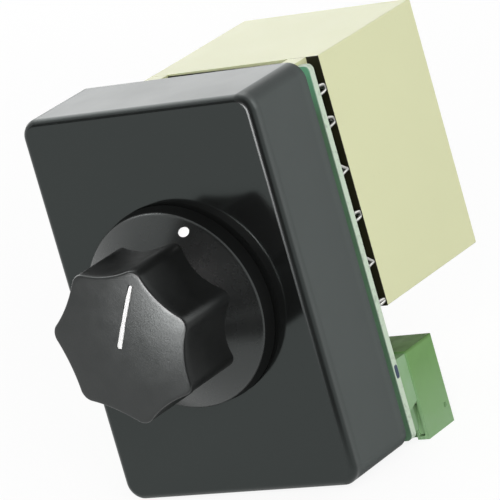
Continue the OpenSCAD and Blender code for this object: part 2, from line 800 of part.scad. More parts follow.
// Ends of the bobbin inside the windows
bobbin_x0 = core_x - 1.5 * lam + loose_fit;
bobbin_x1 = core_x + 1.5 * lam - loose_fit;

// Width of the winding space round the bobbin's tube
coil_reach = lam - loose_fit;

module potting() color([0.1, 0.1, 0.1]) difference() {
    block([case_x0 + case_wall, case_y, case_z0 + case_wall],
        [case_x1 - case_wall, case_back - case_wall, case_z1 - case_wall]);
    core_block();
    limb_box(bobbin_x0, bobbin_x1, coil_reach, coil_reach);
    at_leads() rod_y(root_r + set_fit, case_y - cut, case_y + lead_root);
}

module core_e_stack() color([0.45, 0.45, 0.48]) difference() {
    core_block();
    for (s = [-1, 1])
        translate([core_x, core_y, core_z + s * 1.5 * lam])
            cube([3 * lam, stack_t + cut, lam], center = true);
    block([core_x + 1.5 * lam, core_y - stack_t, core_z - 4 * lam],
        [core_x + 3 * lam, core_y + stack_t, core_z + 4 * lam]);
}

module core_i_stack() color([0.45, 0.45, 0.48])
    block([core_x + 1.5 * lam, core_y - stack_t / 2, core_z - 3 * lam],
        [core_x + 2.5 * lam, core_y + stack_t / 2, core_z + 3 * lam]);

module bobbin() color([0.9, 0.88, 0.8]) difference() {
    union() {
        limb_box(bobbin_x0, bobbin_x1, bobbin_wall, bobbin_wall);
        for (x = [bobbin_x0, bobbin_x1 - bobbin_wall])
            limb_box(x, x + bobbin_wall, coil_reach, coil_reach);
    }
    limb_box(bobbin_x0 - cut, bobbin_x1 + cut, set_fit, set_fit);
}

module winding() color([0.7, 0.4, 0.2]) difference() {
    translate([0, core_y, core_z]) rotate([90, 0, 90])
        translate([0, 0, bobbin_x0 + bobbin_wall]) linear_extrude(bobbin_x1 - bobbin_x0 - 2 * bobbin_wall)
            round_rect(stack_t + 2 * (coil_reach - coil_play),
                2 * (lam + coil_reach - coil_play), coil_corner);
    limb_box(bobbin_x0, bobbin_x1, bobbin_wall, bobbin_wall);
}

// The places of the tap leads, at the case's open face
module at_leads() for (drop = lead_drops) translate([lead_x, 0, case_z1 - drop * case_h]) children();

module tap_leads() color([0.8, 0.8, 0.8]) at_leads() {
    bow = lead_fork / 2;
    top = case_y - lead_out;
    side = lead_in - lead_edge;
    translate([side, top - bow, 0]) {
        rotate([0, 90, 0]) rotate_extrude(angle = 180) translate([bow, 0]) circle(lead_d / 2);
        for (s = [-1, 1]) translate([0, 0, s * bow]) rod_y(lead_d / 2, board_back - top + bow, 0);
    }
    translate([lead_bend, top, 0]) rotate([0, 90, 0]) cylinder(h = side - lead_bend, r = root_r);
    translate([lead_bend, top + lead_bend, 0]) rotate([0, 0, 180])
        rotate_extrude(angle = 90) translate([lead_bend, 0]) circle(root_r);
    rod_y(root_r, top + lead_bend, case_y + lead_root);
}

// Outline of the block's side pocket, in Y and Z
module pocket_outline() polygon([
    [board_back - cut, panel_z - pocket_slope], [foot_y - foot_side, panel_z],
    [foot_y, panel_z - foot_side], [foot_y, block_z0 + pocket_wall],
    [board_back - cut, block_z0 + pocket_wall]
]);

module terminal_housing() color([0.42, 0.62, 0.38]) difference() {
    union() {
        block([block_x0, foot_y, block_z0], [block_x1, block_back, block_z1]);
        block([block_x0 + foot_side, board_back, block_z0],
            [block_x1 - foot_side, foot_y, block_z1 - foot_step]);
    }
    translate([block_x1 - foot_side - pocket_depth, 0, 0]) rotate([90, 0, 90])
        linear_extrude(end_wall + cut) pocket_outline();
    block([block_x0 - cut, board_back - cut, block_z0 - cut], [block_x1 + cut, cut_y, block_z0 + foot_cut]);
    block([block_x1 - end_wall, board_back - cut, block_z0 - cut],
        [block_x1 + cut, foot_y, block_z0 + foot_cut]);
    block([block_x0 - cut, board_back - cut, block_z0 - cut],
        [block_x0 + end_wall, foot_y, block_z0 + foot_cut]);
    for (i = [0 : ways - 1]) translate([way_x(i), 0, 0]) {
        block([-chamber_x, board_back - cut, chamber_z0], [chamber_x, chamber_y, chamber_z1]);
        translate([0, wire_y, block_z0 - cut])
            cylinder(h = chamber_z0 - block_z0 + 2 * cut, r = wire_d / 2);
        translate([0, wire_y, block_z0]) cylinder(h = flare, r1 = wire_d / 2 + flare, r2 = wire_d / 2);
        translate([0, 0, clamp_z]) {
            rod_y(clamp_d / 2 + loose_fit, chamber_y - cut, block_back);
            rod_y(clamp_head_d / 2 + run_fit, clamp_head_y - loose_fit, block_back + cut);
        }
    }
}

module terminal_pins() color([0.8, 0.8, 0.78]) for (i = [0 : ways - 1]) translate([way_x(i), 0, 0]) {
    block([-bar_w / 2, strip_y, chamber_z0 + loose_fit], [bar_w / 2, strip_y + bar_t, tail_z + bar_t]);
    block([-bar_w / 2, board_back, tail_z], [bar_w / 2, strip_y + bar_t, tail_z + bar_t]);
    block([-tail_w / 2, board_y - pin_out, tail_z], [tail_w / 2, board_back, tail_z + bar_t]);
}

module terminal_screw(i) color([0.78, 0.78, 0.8]) translate([way_x(i), 0, clamp_z]) difference() {
    union() {
        rod_y(clamp_d / 2, strip_y + bar_t + loose_fit / 2, clamp_head_y);
        rod_y(clamp_head_d / 2, clamp_head_y, clamp_head_y + clamp_head_h);
    }
    block([-clamp_head_d, clamp_head_y + clamp_head_h / 2, -clamp_slot / 2],
        [clamp_head_d, clamp_head_y + clamp_head_h + cut, clamp_slot / 2]);
}

module clamp_cage(i) color([0.75, 0.7, 0.5]) translate([way_x(i), 0, clamp_z]) difference() {
    block([-cage_w / 2, cage_y, -cage_l / 2], [cage_w / 2, cage_roof + cage_top, cage_l / 2]);
    block([cage_wall - cage_w / 2, cage_y + cage_floor, -cage_l],
        [cage_w / 2 - cage_wall, cage_roof, cage_l]);
    rod_y(clamp_d / 2 + run_fit, cage_roof - cut, cage_roof + cage_top + cut);
}

front_housing();
circuit_board();
board_screws();
knob();
knob_bush();
knob_set_screw();
pointer_line();
skirt_dot();
switch_shaft();
shaft_clip();
switch_bushing();
switch_plate();
panel_nut();
lock_washer();
switch_body();
detent_wheel();
detent_balls();
detent_springs();
stop_pin();
switch_rotor();
wiper_contact();
switch_base();
fixed_contacts();
common_contact();
transformer_case();
potting();
core_e_stack();
core_i_stack();
bobbin();
winding();
tap_leads();
terminal_housing();
terminal_pins();
terminal_screw(0);  // terminal_screw_1
terminal_screw(1);  // terminal_screw_2
terminal_screw(2);  // terminal_screw_3
terminal_screw(3);  // terminal_screw_4
clamp_cage(0);  // clamp_cage_1
clamp_cage(1);  // clamp_cage_2
clamp_cage(2);  // clamp_cage_3
clamp_cage(3);  // clamp_cage_4
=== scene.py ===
"""Looks of a panel attenuator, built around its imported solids."""
import math

import bmesh
import bpy
from bpy.props import FloatProperty, FloatVectorProperty, IntProperty, PointerProperty
from bpy.types import Operator, Panel, PropertyGroup
from mathutils import Matrix, Vector


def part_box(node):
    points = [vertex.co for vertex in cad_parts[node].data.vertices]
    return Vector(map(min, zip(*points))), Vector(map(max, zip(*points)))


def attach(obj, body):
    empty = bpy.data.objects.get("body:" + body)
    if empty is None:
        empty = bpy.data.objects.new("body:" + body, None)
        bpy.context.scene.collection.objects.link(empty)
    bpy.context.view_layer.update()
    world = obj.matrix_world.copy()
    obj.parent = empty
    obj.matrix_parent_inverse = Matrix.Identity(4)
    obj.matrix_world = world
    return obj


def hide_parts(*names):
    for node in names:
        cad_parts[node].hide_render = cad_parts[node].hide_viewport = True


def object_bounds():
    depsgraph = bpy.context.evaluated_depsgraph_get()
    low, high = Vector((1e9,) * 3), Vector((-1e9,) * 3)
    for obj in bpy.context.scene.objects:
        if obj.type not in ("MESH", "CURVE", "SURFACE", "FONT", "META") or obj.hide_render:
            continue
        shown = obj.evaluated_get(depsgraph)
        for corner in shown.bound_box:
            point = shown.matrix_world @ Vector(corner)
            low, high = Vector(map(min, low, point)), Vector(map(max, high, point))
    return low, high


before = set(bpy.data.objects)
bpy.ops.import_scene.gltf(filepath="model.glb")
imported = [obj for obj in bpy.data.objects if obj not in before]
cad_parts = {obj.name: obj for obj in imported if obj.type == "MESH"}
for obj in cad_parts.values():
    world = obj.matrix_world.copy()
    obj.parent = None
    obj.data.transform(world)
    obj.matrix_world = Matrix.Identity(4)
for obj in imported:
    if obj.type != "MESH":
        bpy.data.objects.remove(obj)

bl_info = {
    "name": "Panel attenuator",
    "version": (1, 0, 0),
    "blender": (4, 5, 0),
    "location": "3D View > Sidebar > Attenuator",
    "description": "Dresses the solids of a panel attenuator and sets its stage",
    "category": "Object",
}

CAD_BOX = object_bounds()
MM = 0.001
TINY = 1e-6
PARALLEL = 0.999
NOISE_SPAN = (0.3, 0.7)
X_AXIS = Vector((1, 0, 0))
Y_AXIS = Vector((0, 1, 0))
Z_AXIS = Vector((0, 0, 1))
HOUSING_LOW, HOUSING_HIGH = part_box("front_housing")
KNOB_LOW, KNOB_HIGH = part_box("knob")
BOARD_LOW, BOARD_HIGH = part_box("circuit_board")
CASE_LOW, CASE_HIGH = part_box("transformer_case")
CASE_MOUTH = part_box("potting")[0].y
BLOCK_LOW, BLOCK_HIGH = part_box("terminal_housing")
BLOCK_FOOT = BLOCK_LOW.y + 3.3 * MM
WAYS = range(1, 5)
FRAME_BODY = "frame"
CONTROL_BODY = "control"


def length(name, description, default):
    """A length in metres for the sidebar."""
    return FloatProperty(
        name=name, description=description, default=default, min=0.0, precision=5,
        subtype="DISTANCE", unit="LENGTH",
    )


def colour(name, description, default):
    """A linear colour for the sidebar."""
    return FloatVectorProperty(
        name=name, description=description, default=default, min=0.0, max=1.0, size=3,
        subtype="COLOR",
    )


def brightness(name, description, default):
    """The level of a light for the sidebar."""
    return FloatProperty(name=name, description=description, default=default, min=0.0)


class HousingSettings(PropertyGroup):
    """Sizes and colours of the moulded housing"""
    corner: length("Corner radius", "Radius of the corners, seen from the front", 3.2 * MM)
    edge: length("Edge radius", "Rounding of the front edge", 1.25 * MM)
    wall: length("Side wall", "Thickness of the side walls", 2.0 * MM)
    face: length("Front wall", "Thickness of the front wall", 2.5 * MM)
    bore: length("Bushing hole", "Radius of the hole for the bushing", 4.86 * MM)
    tint: colour("Colour", "Base colour of the glossy moulding", (0.0062, 0.0066, 0.0064))
    # The satin colour is partly a real satin texture and partly painted light: far lighter than the front,
    # it stands in for the light the sides catch.
    satin: colour("Satin colour", "Base colour of the satin sides", (0.081, 0.090, 0.088))


class KnobSettings(PropertyGroup):
    """Sizes and colours of the knob"""
    lobes: IntProperty(name="Lobes", description="Lobes round the grip", default=7, min=3)
    lobe_r: length("Radius over lobes", "Radius over the grip's lobes", 13.88 * MM)
    tip_r: length("Lobe tip radius", "Radius of each lobe's own tip", 2.2 * MM)
    valley_r: length("Valley radius", "Radius at the middle of each valley", 12.15 * MM)
    crown: length("Crown", "Rise of the top face", 1.3 * MM)
    edge: length("Top edge", "Rounding of the grip's top edge", 0.32 * MM)
    turn: FloatProperty(
        name="Pointer angle", description="Clockwise angle of the pointer from straight up",
        default=math.radians(26.8), subtype="ANGLE", unit="ROTATION",
    )
    tint: colour("Colour", "Base colour of the grained moulding", (0.0092, 0.0097, 0.0095))
    mark: colour("Mark colour", "Colour of the filled marks", (0.97, 0.97, 0.96))


class BoardSettings(PropertyGroup):
    """Colours of the circuit board"""
    mask: colour("Mask", "Colour of the solder mask", (0.070, 0.138, 0.080))
    # Painted highlight: a lighter mask colour towards the board's top.
    mask_highlight: colour("Fresh mask", "Colour of the mask towards the top", (0.115, 0.330, 0.190))
    laminate: colour("Laminate", "Colour of the bare edge", (0.575, 0.685, 0.545))
    ink: colour("Ink", "Colour of the ink dab on the edge", (0.020, 0.038, 0.080))


class TransformerSettings(PropertyGroup):
    """Sizes and colours of the potted transformer"""
    wall: length("Case wall", "Wall of the case", 0.6 * MM)
    edge: length("Case edge", "Rounding of the case's edges", 0.25 * MM)
    foot: length("Foot width", "Width of the case's feet", 3.7 * MM)
    wire: length("Lead diameter", "Diameter of the tap leads", 0.56 * MM)
    cream: colour("Case colour", "Colour of the case", (0.720, 0.738, 0.448))
    resin: colour("Resin colour", "Colour of the potting", (0.012, 0.0112, 0.0052))


class TerminalSettings(PropertyGroup):
    """Edge rounding and colours of the terminal block"""
    edge: length("Edge", "Rounding of the block's edges", 0.14 * MM)
    tint: colour("Colour", "Colour of the block", (0.166, 0.322, 0.114))
    # Painted light: the block turns paler towards its lower end, standing in for light from the floor below
    # and the case's shade above.
    pale: colour("Pale colour", "Colour towards the block's lower end", (0.268, 0.418, 0.238))
    # The foot is given a paler colour than the tower.
    paler_foot: colour("Foot colour", "Colour of the block's foot", (0.320, 0.480, 0.306))
    # Painted shade: the top is darkened where the case above shades it.
    shaded_top: colour("Top colour", "Colour of the block's top", (0.045, 0.110, 0.012))


class StageSettings(PropertyGroup):
    """Floor, light and camera"""
    floor: colour("Floor colour", "Colour of the floor", (0.86, 0.86, 0.86))
    fill: brightness("Fill", "Level of the studio all round", 0.42)
    key: brightness("Key", "Brightness of the key light", 8.3)
    rear: brightness("Rear", "Brightness of the light behind", 12.0)
    panel: brightness("Panels", "Brightness of the panels behind", 2.3)
    top: brightness("Top panel", "Brightness of the panel above", 3.2)
    strip: brightness("Edge strips", "Brightness of the strips in front", 10.0)
    low: brightness("Low strip", "Brightness of the knob's own strip", 17.5)
    lens: FloatProperty(
        name="Lens", description="Focal length in millimetres", default=356.97, unit="CAMERA",
    )


def box_mesh(low, high):
    """A bmesh box between two corners."""
    low, high = Vector(low), Vector(high)
    bm = bmesh.new()
    size = Matrix.Diagonal((*(high - low), 1.0))
    bmesh.ops.create_cube(bm, size=1.0, matrix=Matrix.Translation((low + high) / 2) @ size)
    return bm


def cylinder_mesh(start, end, radius, segments=48):
    """A bmesh cylinder between two points."""
    start, end = Vector(start), Vector(end)
    bm = bmesh.new()
    along = end - start
    turn = along.to_track_quat("Z", "Y").to_matrix().to_4x4()
    bmesh.ops.create_cone(
        bm, cap_ends=True, segments=segments, radius1=radius, radius2=radius,
        depth=along.length, matrix=Matrix.Translation((start + end) / 2) @ turn,
    )
    return bm


def profile(datum, *points):
    """Points of radius and depth, given in millimetres from a datum depth."""
    return [(r * MM, datum + y * MM) for r, y in points]


def spun(points, steps=96, closed=True):
    """A bmesh of a profile of radius and depth, turned round the Y axis."""
    bm = bmesh.new()
    verts = [bm.verts.new((r, y, 0.0)) for r, y in points]
    pairs = list(zip(verts, verts[1:]))
    if closed:
        pairs.append((verts[-1], verts[0]))
    edges = [bm.edges.new(pair) for pair in pairs]
    bmesh.ops.spin(
        bm, geom=verts + edges, cent=(0, 0, 0), axis=Y_AXIS, dvec=(0, 0, 0),
        angle=2 * math.pi, steps=steps, use_merge=True, use_duplicate=False,
    )
    return bm


def spun_copies(points, steps, places):
    """Bmeshes of an open profile turned round lines along Y at places of X and Z."""
    return [moved(spun(points, steps, closed=False), Matrix.Translation((x, 0, z))) for x, z in places]


def wire_mesh(paths, radius):
    """A bmesh of round wires along smooth paths."""
    bm = bmesh.new()
    for points in paths:
        curve = bpy.data.curves.new("wire", "CURVE")
        curve.dimensions = "3D"
        curve.bevel_depth = radius
        curve.bevel_resolution = 4
        curve.resolution_u = 8
        curve.use_fill_caps = True
        spline = curve.splines.new("NURBS")
        spline.points.add(len(points) - 1)
        for point, co in zip(spline.points, points):
            point.co = (*co, 1.0)
        spline.order_u = 3
        spline.use_endpoint_u = True
        holder = bpy.data.objects.new("wire", curve)
        bpy.context.scene.collection.objects.link(holder)
        mesh = evaluated(holder)
        bm.from_mesh(mesh)
        bpy.data.meshes.remove(mesh)
        bpy.data.objects.remove(holder)
        bpy.data.curves.remove(curve)
    return bm


def round_edges(bm, edges, width, segments):
    """Rounds edges of a bmesh."""
    bmesh.ops.bevel(
        bm, geom=edges, offset=width, offset_type="OFFSET", affect="EDGES", segments=segments,
        profile=0.5, material=-1, clamp_overlap=True,
    )


def edges_along(bm, axis):
    """The edges of a bmesh that run along an axis."""
    found = []
    for edge in bm.edges:
        start, end = edge.verts
        if abs((end.co - start.co).normalized().dot(axis)) > PARALLEL:
            found.append(edge)
    return found


def hollow(bm, face, wall, inward):
    """Sinks a face into a bmesh, with a wall left round it."""
    bmesh.ops.inset_region(bm, faces=[face], thickness=wall, use_even_offset=True)
    sunk = bmesh.ops.extrude_face_region(bm, geom=[face])["geom"]
    verts = [v for v in sunk if isinstance(v, bmesh.types.BMVert)]
    bmesh.ops.translate(bm, verts=verts, vec=(0, inward, 0))
    if face.is_valid:
        bmesh.ops.delete(bm, geom=[face], context="FACES_ONLY")


def narrow(bm, verts, across, along):
    """Draws some points of a bmesh in towards the Y axis."""
    bmesh.ops.scale(bm, verts=verts, vec=(across, 1.0, along))


def moved(bm, matrix):
    """A bmesh after a move of all its points."""
    bmesh.ops.transform(bm, matrix=matrix, verts=bm.verts[:])
    return bm


def joined(*meshes):
    """One bmesh from several."""
    whole = bmesh.new()
    for bm in meshes:
        part = bpy.data.meshes.new("part")
        bm.to_mesh(part)
        whole.from_mesh(part)
        bm.free()
        bpy.data.meshes.remove(part)
    return whole


def shade(mesh, sharp):
    """Smooth shading, with edges past an angle in degrees kept sharp."""
    mesh.shade_smooth()
    mesh.set_sharp_from_angle(angle=math.radians(sharp))


def make_object(name, bm, sharp=40.0):
    """A mesh object at the origin, with merged doubles and outward faces."""
    bmesh.ops.remove_doubles(bm, verts=bm.verts[:], dist=TINY)
    bmesh.ops.recalc_face_normals(bm, faces=bm.faces[:])
    mesh = bpy.data.meshes.new(name)
    bm.to_mesh(mesh)
    bm.free()
    shade(mesh, sharp)
    obj = bpy.data.objects.new(name, mesh)
    bpy.context.scene.collection.objects.link(obj)
    return obj


def evaluated(obj):
    """A new mesh from an object, with its modifiers applied."""
    bpy.context.view_layer.update()
    depsgraph = bpy.context.evaluated_depsgraph_get()
    return bpy.data.meshes.new_from_object(obj.evaluated_get(depsgraph))


def combined(obj, tools, operation, solver):
    """A new mesh from an object and its tools, which are removed."""
    for tool in tools:
        modifier = obj.modifiers.new("combine", "BOOLEAN")
        modifier.operation = operation
        modifier.solver = solver
        modifier.object = tool
    mesh = evaluated(obj)
    obj.modifiers.clear()
    for tool in tools:
        bpy.data.meshes.remove(tool.data)
    return mesh


def cut_out(obj, *cutters, sharp):
    """Cuts closed bmeshes out of an object and keeps the result as its mesh."""
    tools = [make_object("cutter", bm) for bm in cutters]
    mesh = combined(obj, tools, "DIFFERENCE", "MANIFOLD")
    old, obj.data = obj.data, mesh
    mesh.name = obj.name
    bpy.data.meshes.remove(old)
    shade(mesh, sharp)


def soften(obj, width, segments=2, angle=35.0):
    """A live bevel on an object's sharp edges, with even shading."""
    bevel = obj.modifiers.new("edges", "BEVEL")
    bevel.width = width
    bevel.segments = segments
    bevel.limit_method = "ANGLE"
    bevel.angle_limit = math.radians(angle)
    bevel.harden_normals = True


def even_shading(obj):
    """Shades flat faces flat and rounded edges round."""
    weighted = obj.modifiers.new("shading", "WEIGHTED_NORMAL")
    weighted.keep_sharp = True


def settle(obj, material, body, slot, *nodes):
    """Gives a piece its material and its body, and hides the nodes it stands for; the slot is not used."""
    obj.data.materials.clear()
    obj.data.materials.append(material)
    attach(obj, body)
    if nodes:
        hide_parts(*nodes)


def paint_nodes(material, *names):
    """Gives carried solids a material."""
    for name in names:
        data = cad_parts[name].data
        data.materials.clear()
        data.materials.append(material)


def shade_of(tint, factor):
    """A colour made lighter or darker."""
    return tuple(min(1.0, c * factor) for c in tint)


def feed(tree, socket, value):
    """Links a socket to another, or sets it to a plain number, vector or colour."""
    if isinstance(value, bpy.types.NodeSocket):
        tree.links.new(value, socket)
    elif socket.type == "RGBA":
        socket.default_value = (*value, 1.0)
    else:
        socket.default_value = value


def add_node(tree, kind, inputs, **choices):
    """The outputs of a new node, with its choices made and its inputs fed."""
    node = tree.nodes.new("ShaderNode" + kind)
    for name, choice in choices.items():
        setattr(node, name, choice)
    for key, value in inputs.items():
        feed(tree, node.inputs[key], value)
    return node.outputs


class Finish:
    """A new material on object coordinates, and the nodes that make its look."""

    def __init__(self, name, roughness, metallic=0.0, specular=0.5):
        self.material = bpy.data.materials.new(name)
        self.material.use_nodes = True
        self.tree = self.material.node_tree
        self.shader = self.tree.nodes["Principled BSDF"]
        self.give("Roughness", roughness)
        self.give("Metallic", metallic)
        self.give("Specular IOR Level", specular)
        coordinates = add_node(self.tree, "TexCoord", {})
        self.place = coordinates["Object"]
        self.normal = coordinates["Normal"]

    def give(self, name, value):
        """Feeds one input of the shader."""
        feed(self.tree, self.shader.inputs[name], value)

    def noise(self, scale, detail=3.0, roughness=0.55, distortion=0.0):
        """The value of a noise texture."""
        return add_node(self.tree, "TexNoise", {
            "Vector": self.place, "Scale": scale, "Detail": detail, "Roughness": roughness,
            "Distortion": distortion,
        })["Fac"]

    def spread(self, value, low, high, to_low=0.0, to_high=1.0):
        """A value mapped from one range to another."""
        return add_node(self.tree, "MapRange", {
            "Value": value, "From Min": low, "From Max": high, "To Min": to_low, "To Max": to_high,
        })["Result"]

    def drift(self, low, high, scale, detail):
        """A value that wanders between two limits with a noise texture."""
        return self.spread(self.noise(scale, detail), *NOISE_SPAN, low, high)

    def worked(self, operation, first, second=0.0):
        """One or two values put through a sum, product or the like."""
        return add_node(self.tree, "Math", {0: first, 1: second}, operation=operation)[0]

    def parts(self, vector):
        """The X, Y and Z outputs of a vector."""
        return add_node(self.tree, "SeparateXYZ", {0: vector})

    def tinted(self, factor, first, second):
        """A colour mixed between two, each a colour or a socket."""
        node = self.tree.nodes.new("ShaderNodeMix")
        node.data_type = "RGBA"
        feed(self.tree, node.inputs["Factor"], factor)
        sockets = [s for s in node.inputs if s.type == "RGBA"]
        for socket, value in zip(sockets, (first, second)):
            feed(self.tree, socket, value)
        return next(s for s in node.outputs if s.type == "RGBA")

    def shaded(self, factor, tint, low, high):
        """A colour that goes from one shade of itself to another."""
        return self.tinted(factor, shade_of(tint, low), shade_of(tint, high))

    def dress(self, tint, gloss, height, depth, strength=1.0):
        """Feeds the shader its colour, roughness and bump, and gives the material."""
        bump = add_node(self.tree, "Bump", {"Height": height, "Distance": depth, "Strength": strength})
        self.give("Base Color", tint)
        self.give("Roughness", gloss)
        self.give("Normal", bump["Normal"])
        return self.material


def moulding(name, tint, roughness, depth):
    """Moulded plastic: fine grain, slow colour drift and uneven gloss."""
    look = Finish(name, roughness)
    mix = look.shaded(look.noise(90.0, 4.0), tint, 0.88, 1.12)
    gloss = look.drift(roughness - 0.03, roughness + 0.03, 260.0, 5.0)
    return look.dress(mix, gloss, look.noise(1800.0, 2.0), depth)


def metal(name, tint, roughness, grain=1400.0, depth=0.004 * MM):
    """Bare or plated metal with a fine grain and small stains."""
    look = Finish(name, roughness, metallic=1.0)
    stained = look.spread(look.noise(420.0, 5.0), 0.35, 0.7)
    mix = look.shaded(stained, tint, 1.0, 0.78)
    gloss = look.drift(roughness * 0.8, roughness * 1.3, 700.0, 3.0)
    return look.dress(mix, gloss, look.noise(grain), depth)


class ATTENUATOR_OT_housing(Operator):
    """Builds the glossy housing with its rounded front and hollow back"""
    bl_idname = "attenuator.housing"
    bl_label = "Housing"

    def execute(self, context):
        sizes = context.scene.attenuator_housing
        bm = box_mesh(HOUSING_LOW, HOUSING_HIGH)
        round_edges(bm, edges_along(bm, Y_AXIS), sizes.corner, segments=12)
        front = [e for e in bm.edges if all(v.co.y < HOUSING_LOW.y + TINY for v in e.verts)]
        round_edges(bm, front, sizes.edge, segments=8)
        back = next(f for f in bm.faces if f.normal.y > PARALLEL)
        hollow(bm, back, sizes.wall, HOUSING_LOW.y + sizes.face - HOUSING_HIGH.y)
        shell = make_object("housing_shell", bm)
        hole = cylinder_mesh((0, -MM, 0), (0, sizes.face + MM, 0), sizes.bore)
        cut_out(shell, hole, sharp=50)
        even_shading(shell)
        settle(shell, housing_finish(sizes), FRAME_BODY, "housing_black", "front_housing")
        return {"FINISHED"}


def housing_finish(sizes):
    """Polished black front with a faint orange-peel, on a satin moulding whose sides carry painted light in
    a lighter base colour.
    """
    look = Finish("housing", 0.1, specular=0.53)
    look.give("Specular Tint", (0.866, 1.0, 0.968))
    facing = look.parts(look.normal)
    depth = look.parts(look.place)["Y"]
    flank = look.worked("ABSOLUTE", facing["X"])
    set_back = look.spread(depth, HOUSING_LOW.y + 0.9 * MM, HOUSING_LOW.y + 2.8 * MM)
    # Painted light: where this share rises, the sides get the lighter satin colour as well as a rougher
    # gloss.
    satin_and_sheen_share = look.worked("MULTIPLY", look.spread(flank, 0.45, 0.95), set_back)
    slow = look.noise(60.0, 4.0)
    black = look.shaded(slow, sizes.tint, 0.88, 1.12)
    satin = look.shaded(slow, sizes.satin, 0.92, 1.08)
    # Painted light: the satin turns lighter near the back edge, to hide the shade the board's overhang casts
    # there.
    painted_light_near_back = look.spread(depth, HOUSING_HIGH.y - 2.2 * MM, HOUSING_HIGH.y)
    satin = look.tinted(painted_light_near_back, satin, shade_of(sizes.satin, 1.3))
    gloss = look.spread(look.noise(75.0, 6.0, 0.6), 0.35, 0.75, 0.09, 0.14)
    turned = look.spread(flank, 0.01, 0.09, 0.0, 0.12)
    away = look.worked("MAXIMUM", look.spread(flank, 0.2, 0.6, 1.0, 0.3), set_back)
    dull = look.worked("MULTIPLY", look.spread(facing["Y"], -0.995, -0.72, 0.0, 0.34), away)
    for rougher in (turned, dull, look.worked("MULTIPLY", satin_and_sheen_share, 0.5)):
        gloss = look.worked("ADD", gloss, rougher)
    mix = look.tinted(satin_and_sheen_share, black, satin)
    return look.dress(mix, gloss, look.noise(420.0, 2.0), 0.0012 * MM)


def lobe_radius(sizes, angle):
    """Radius of the grip's outline at an angle from a lobe's middle."""
    half = math.pi / sizes.lobes
    centre = sizes.lobe_r - sizes.tip_r
    reach = centre * math.cos(half)
    valley = sizes.valley_r
    arc = centre ** 2 + valley ** 2 - 2 * reach * valley - sizes.tip_r ** 2
    arc /= 2 * (sizes.tip_r - valley + reach)
    middle = valley + arc
    share = sizes.tip_r / (sizes.tip_r + arc)
    meet = Vector((0, centre)).lerp(middle * Vector((math.sin(half), math.cos(half))), share)
    turn = abs((angle + half) % (2 * half) - half)
    if turn <= math.atan2(meet.x, meet.y):
        return centre * math.cos(turn) + math.sqrt(sizes.tip_r ** 2 - (centre * math.sin(turn)) ** 2)
    off = half - turn
    return middle * math.cos(off) - math.sqrt(arc ** 2 - (middle * math.sin(off)) ** 2)


def crown_depth(sizes, radius):
    """Depth of the knob's crowned top at a distance from its axis."""
    ball = (sizes.lobe_r ** 2 + sizes.crown ** 2) / (2 * sizes.crown)
    return KNOB_LOW.y + ball - math.sqrt(ball ** 2 - radius ** 2)


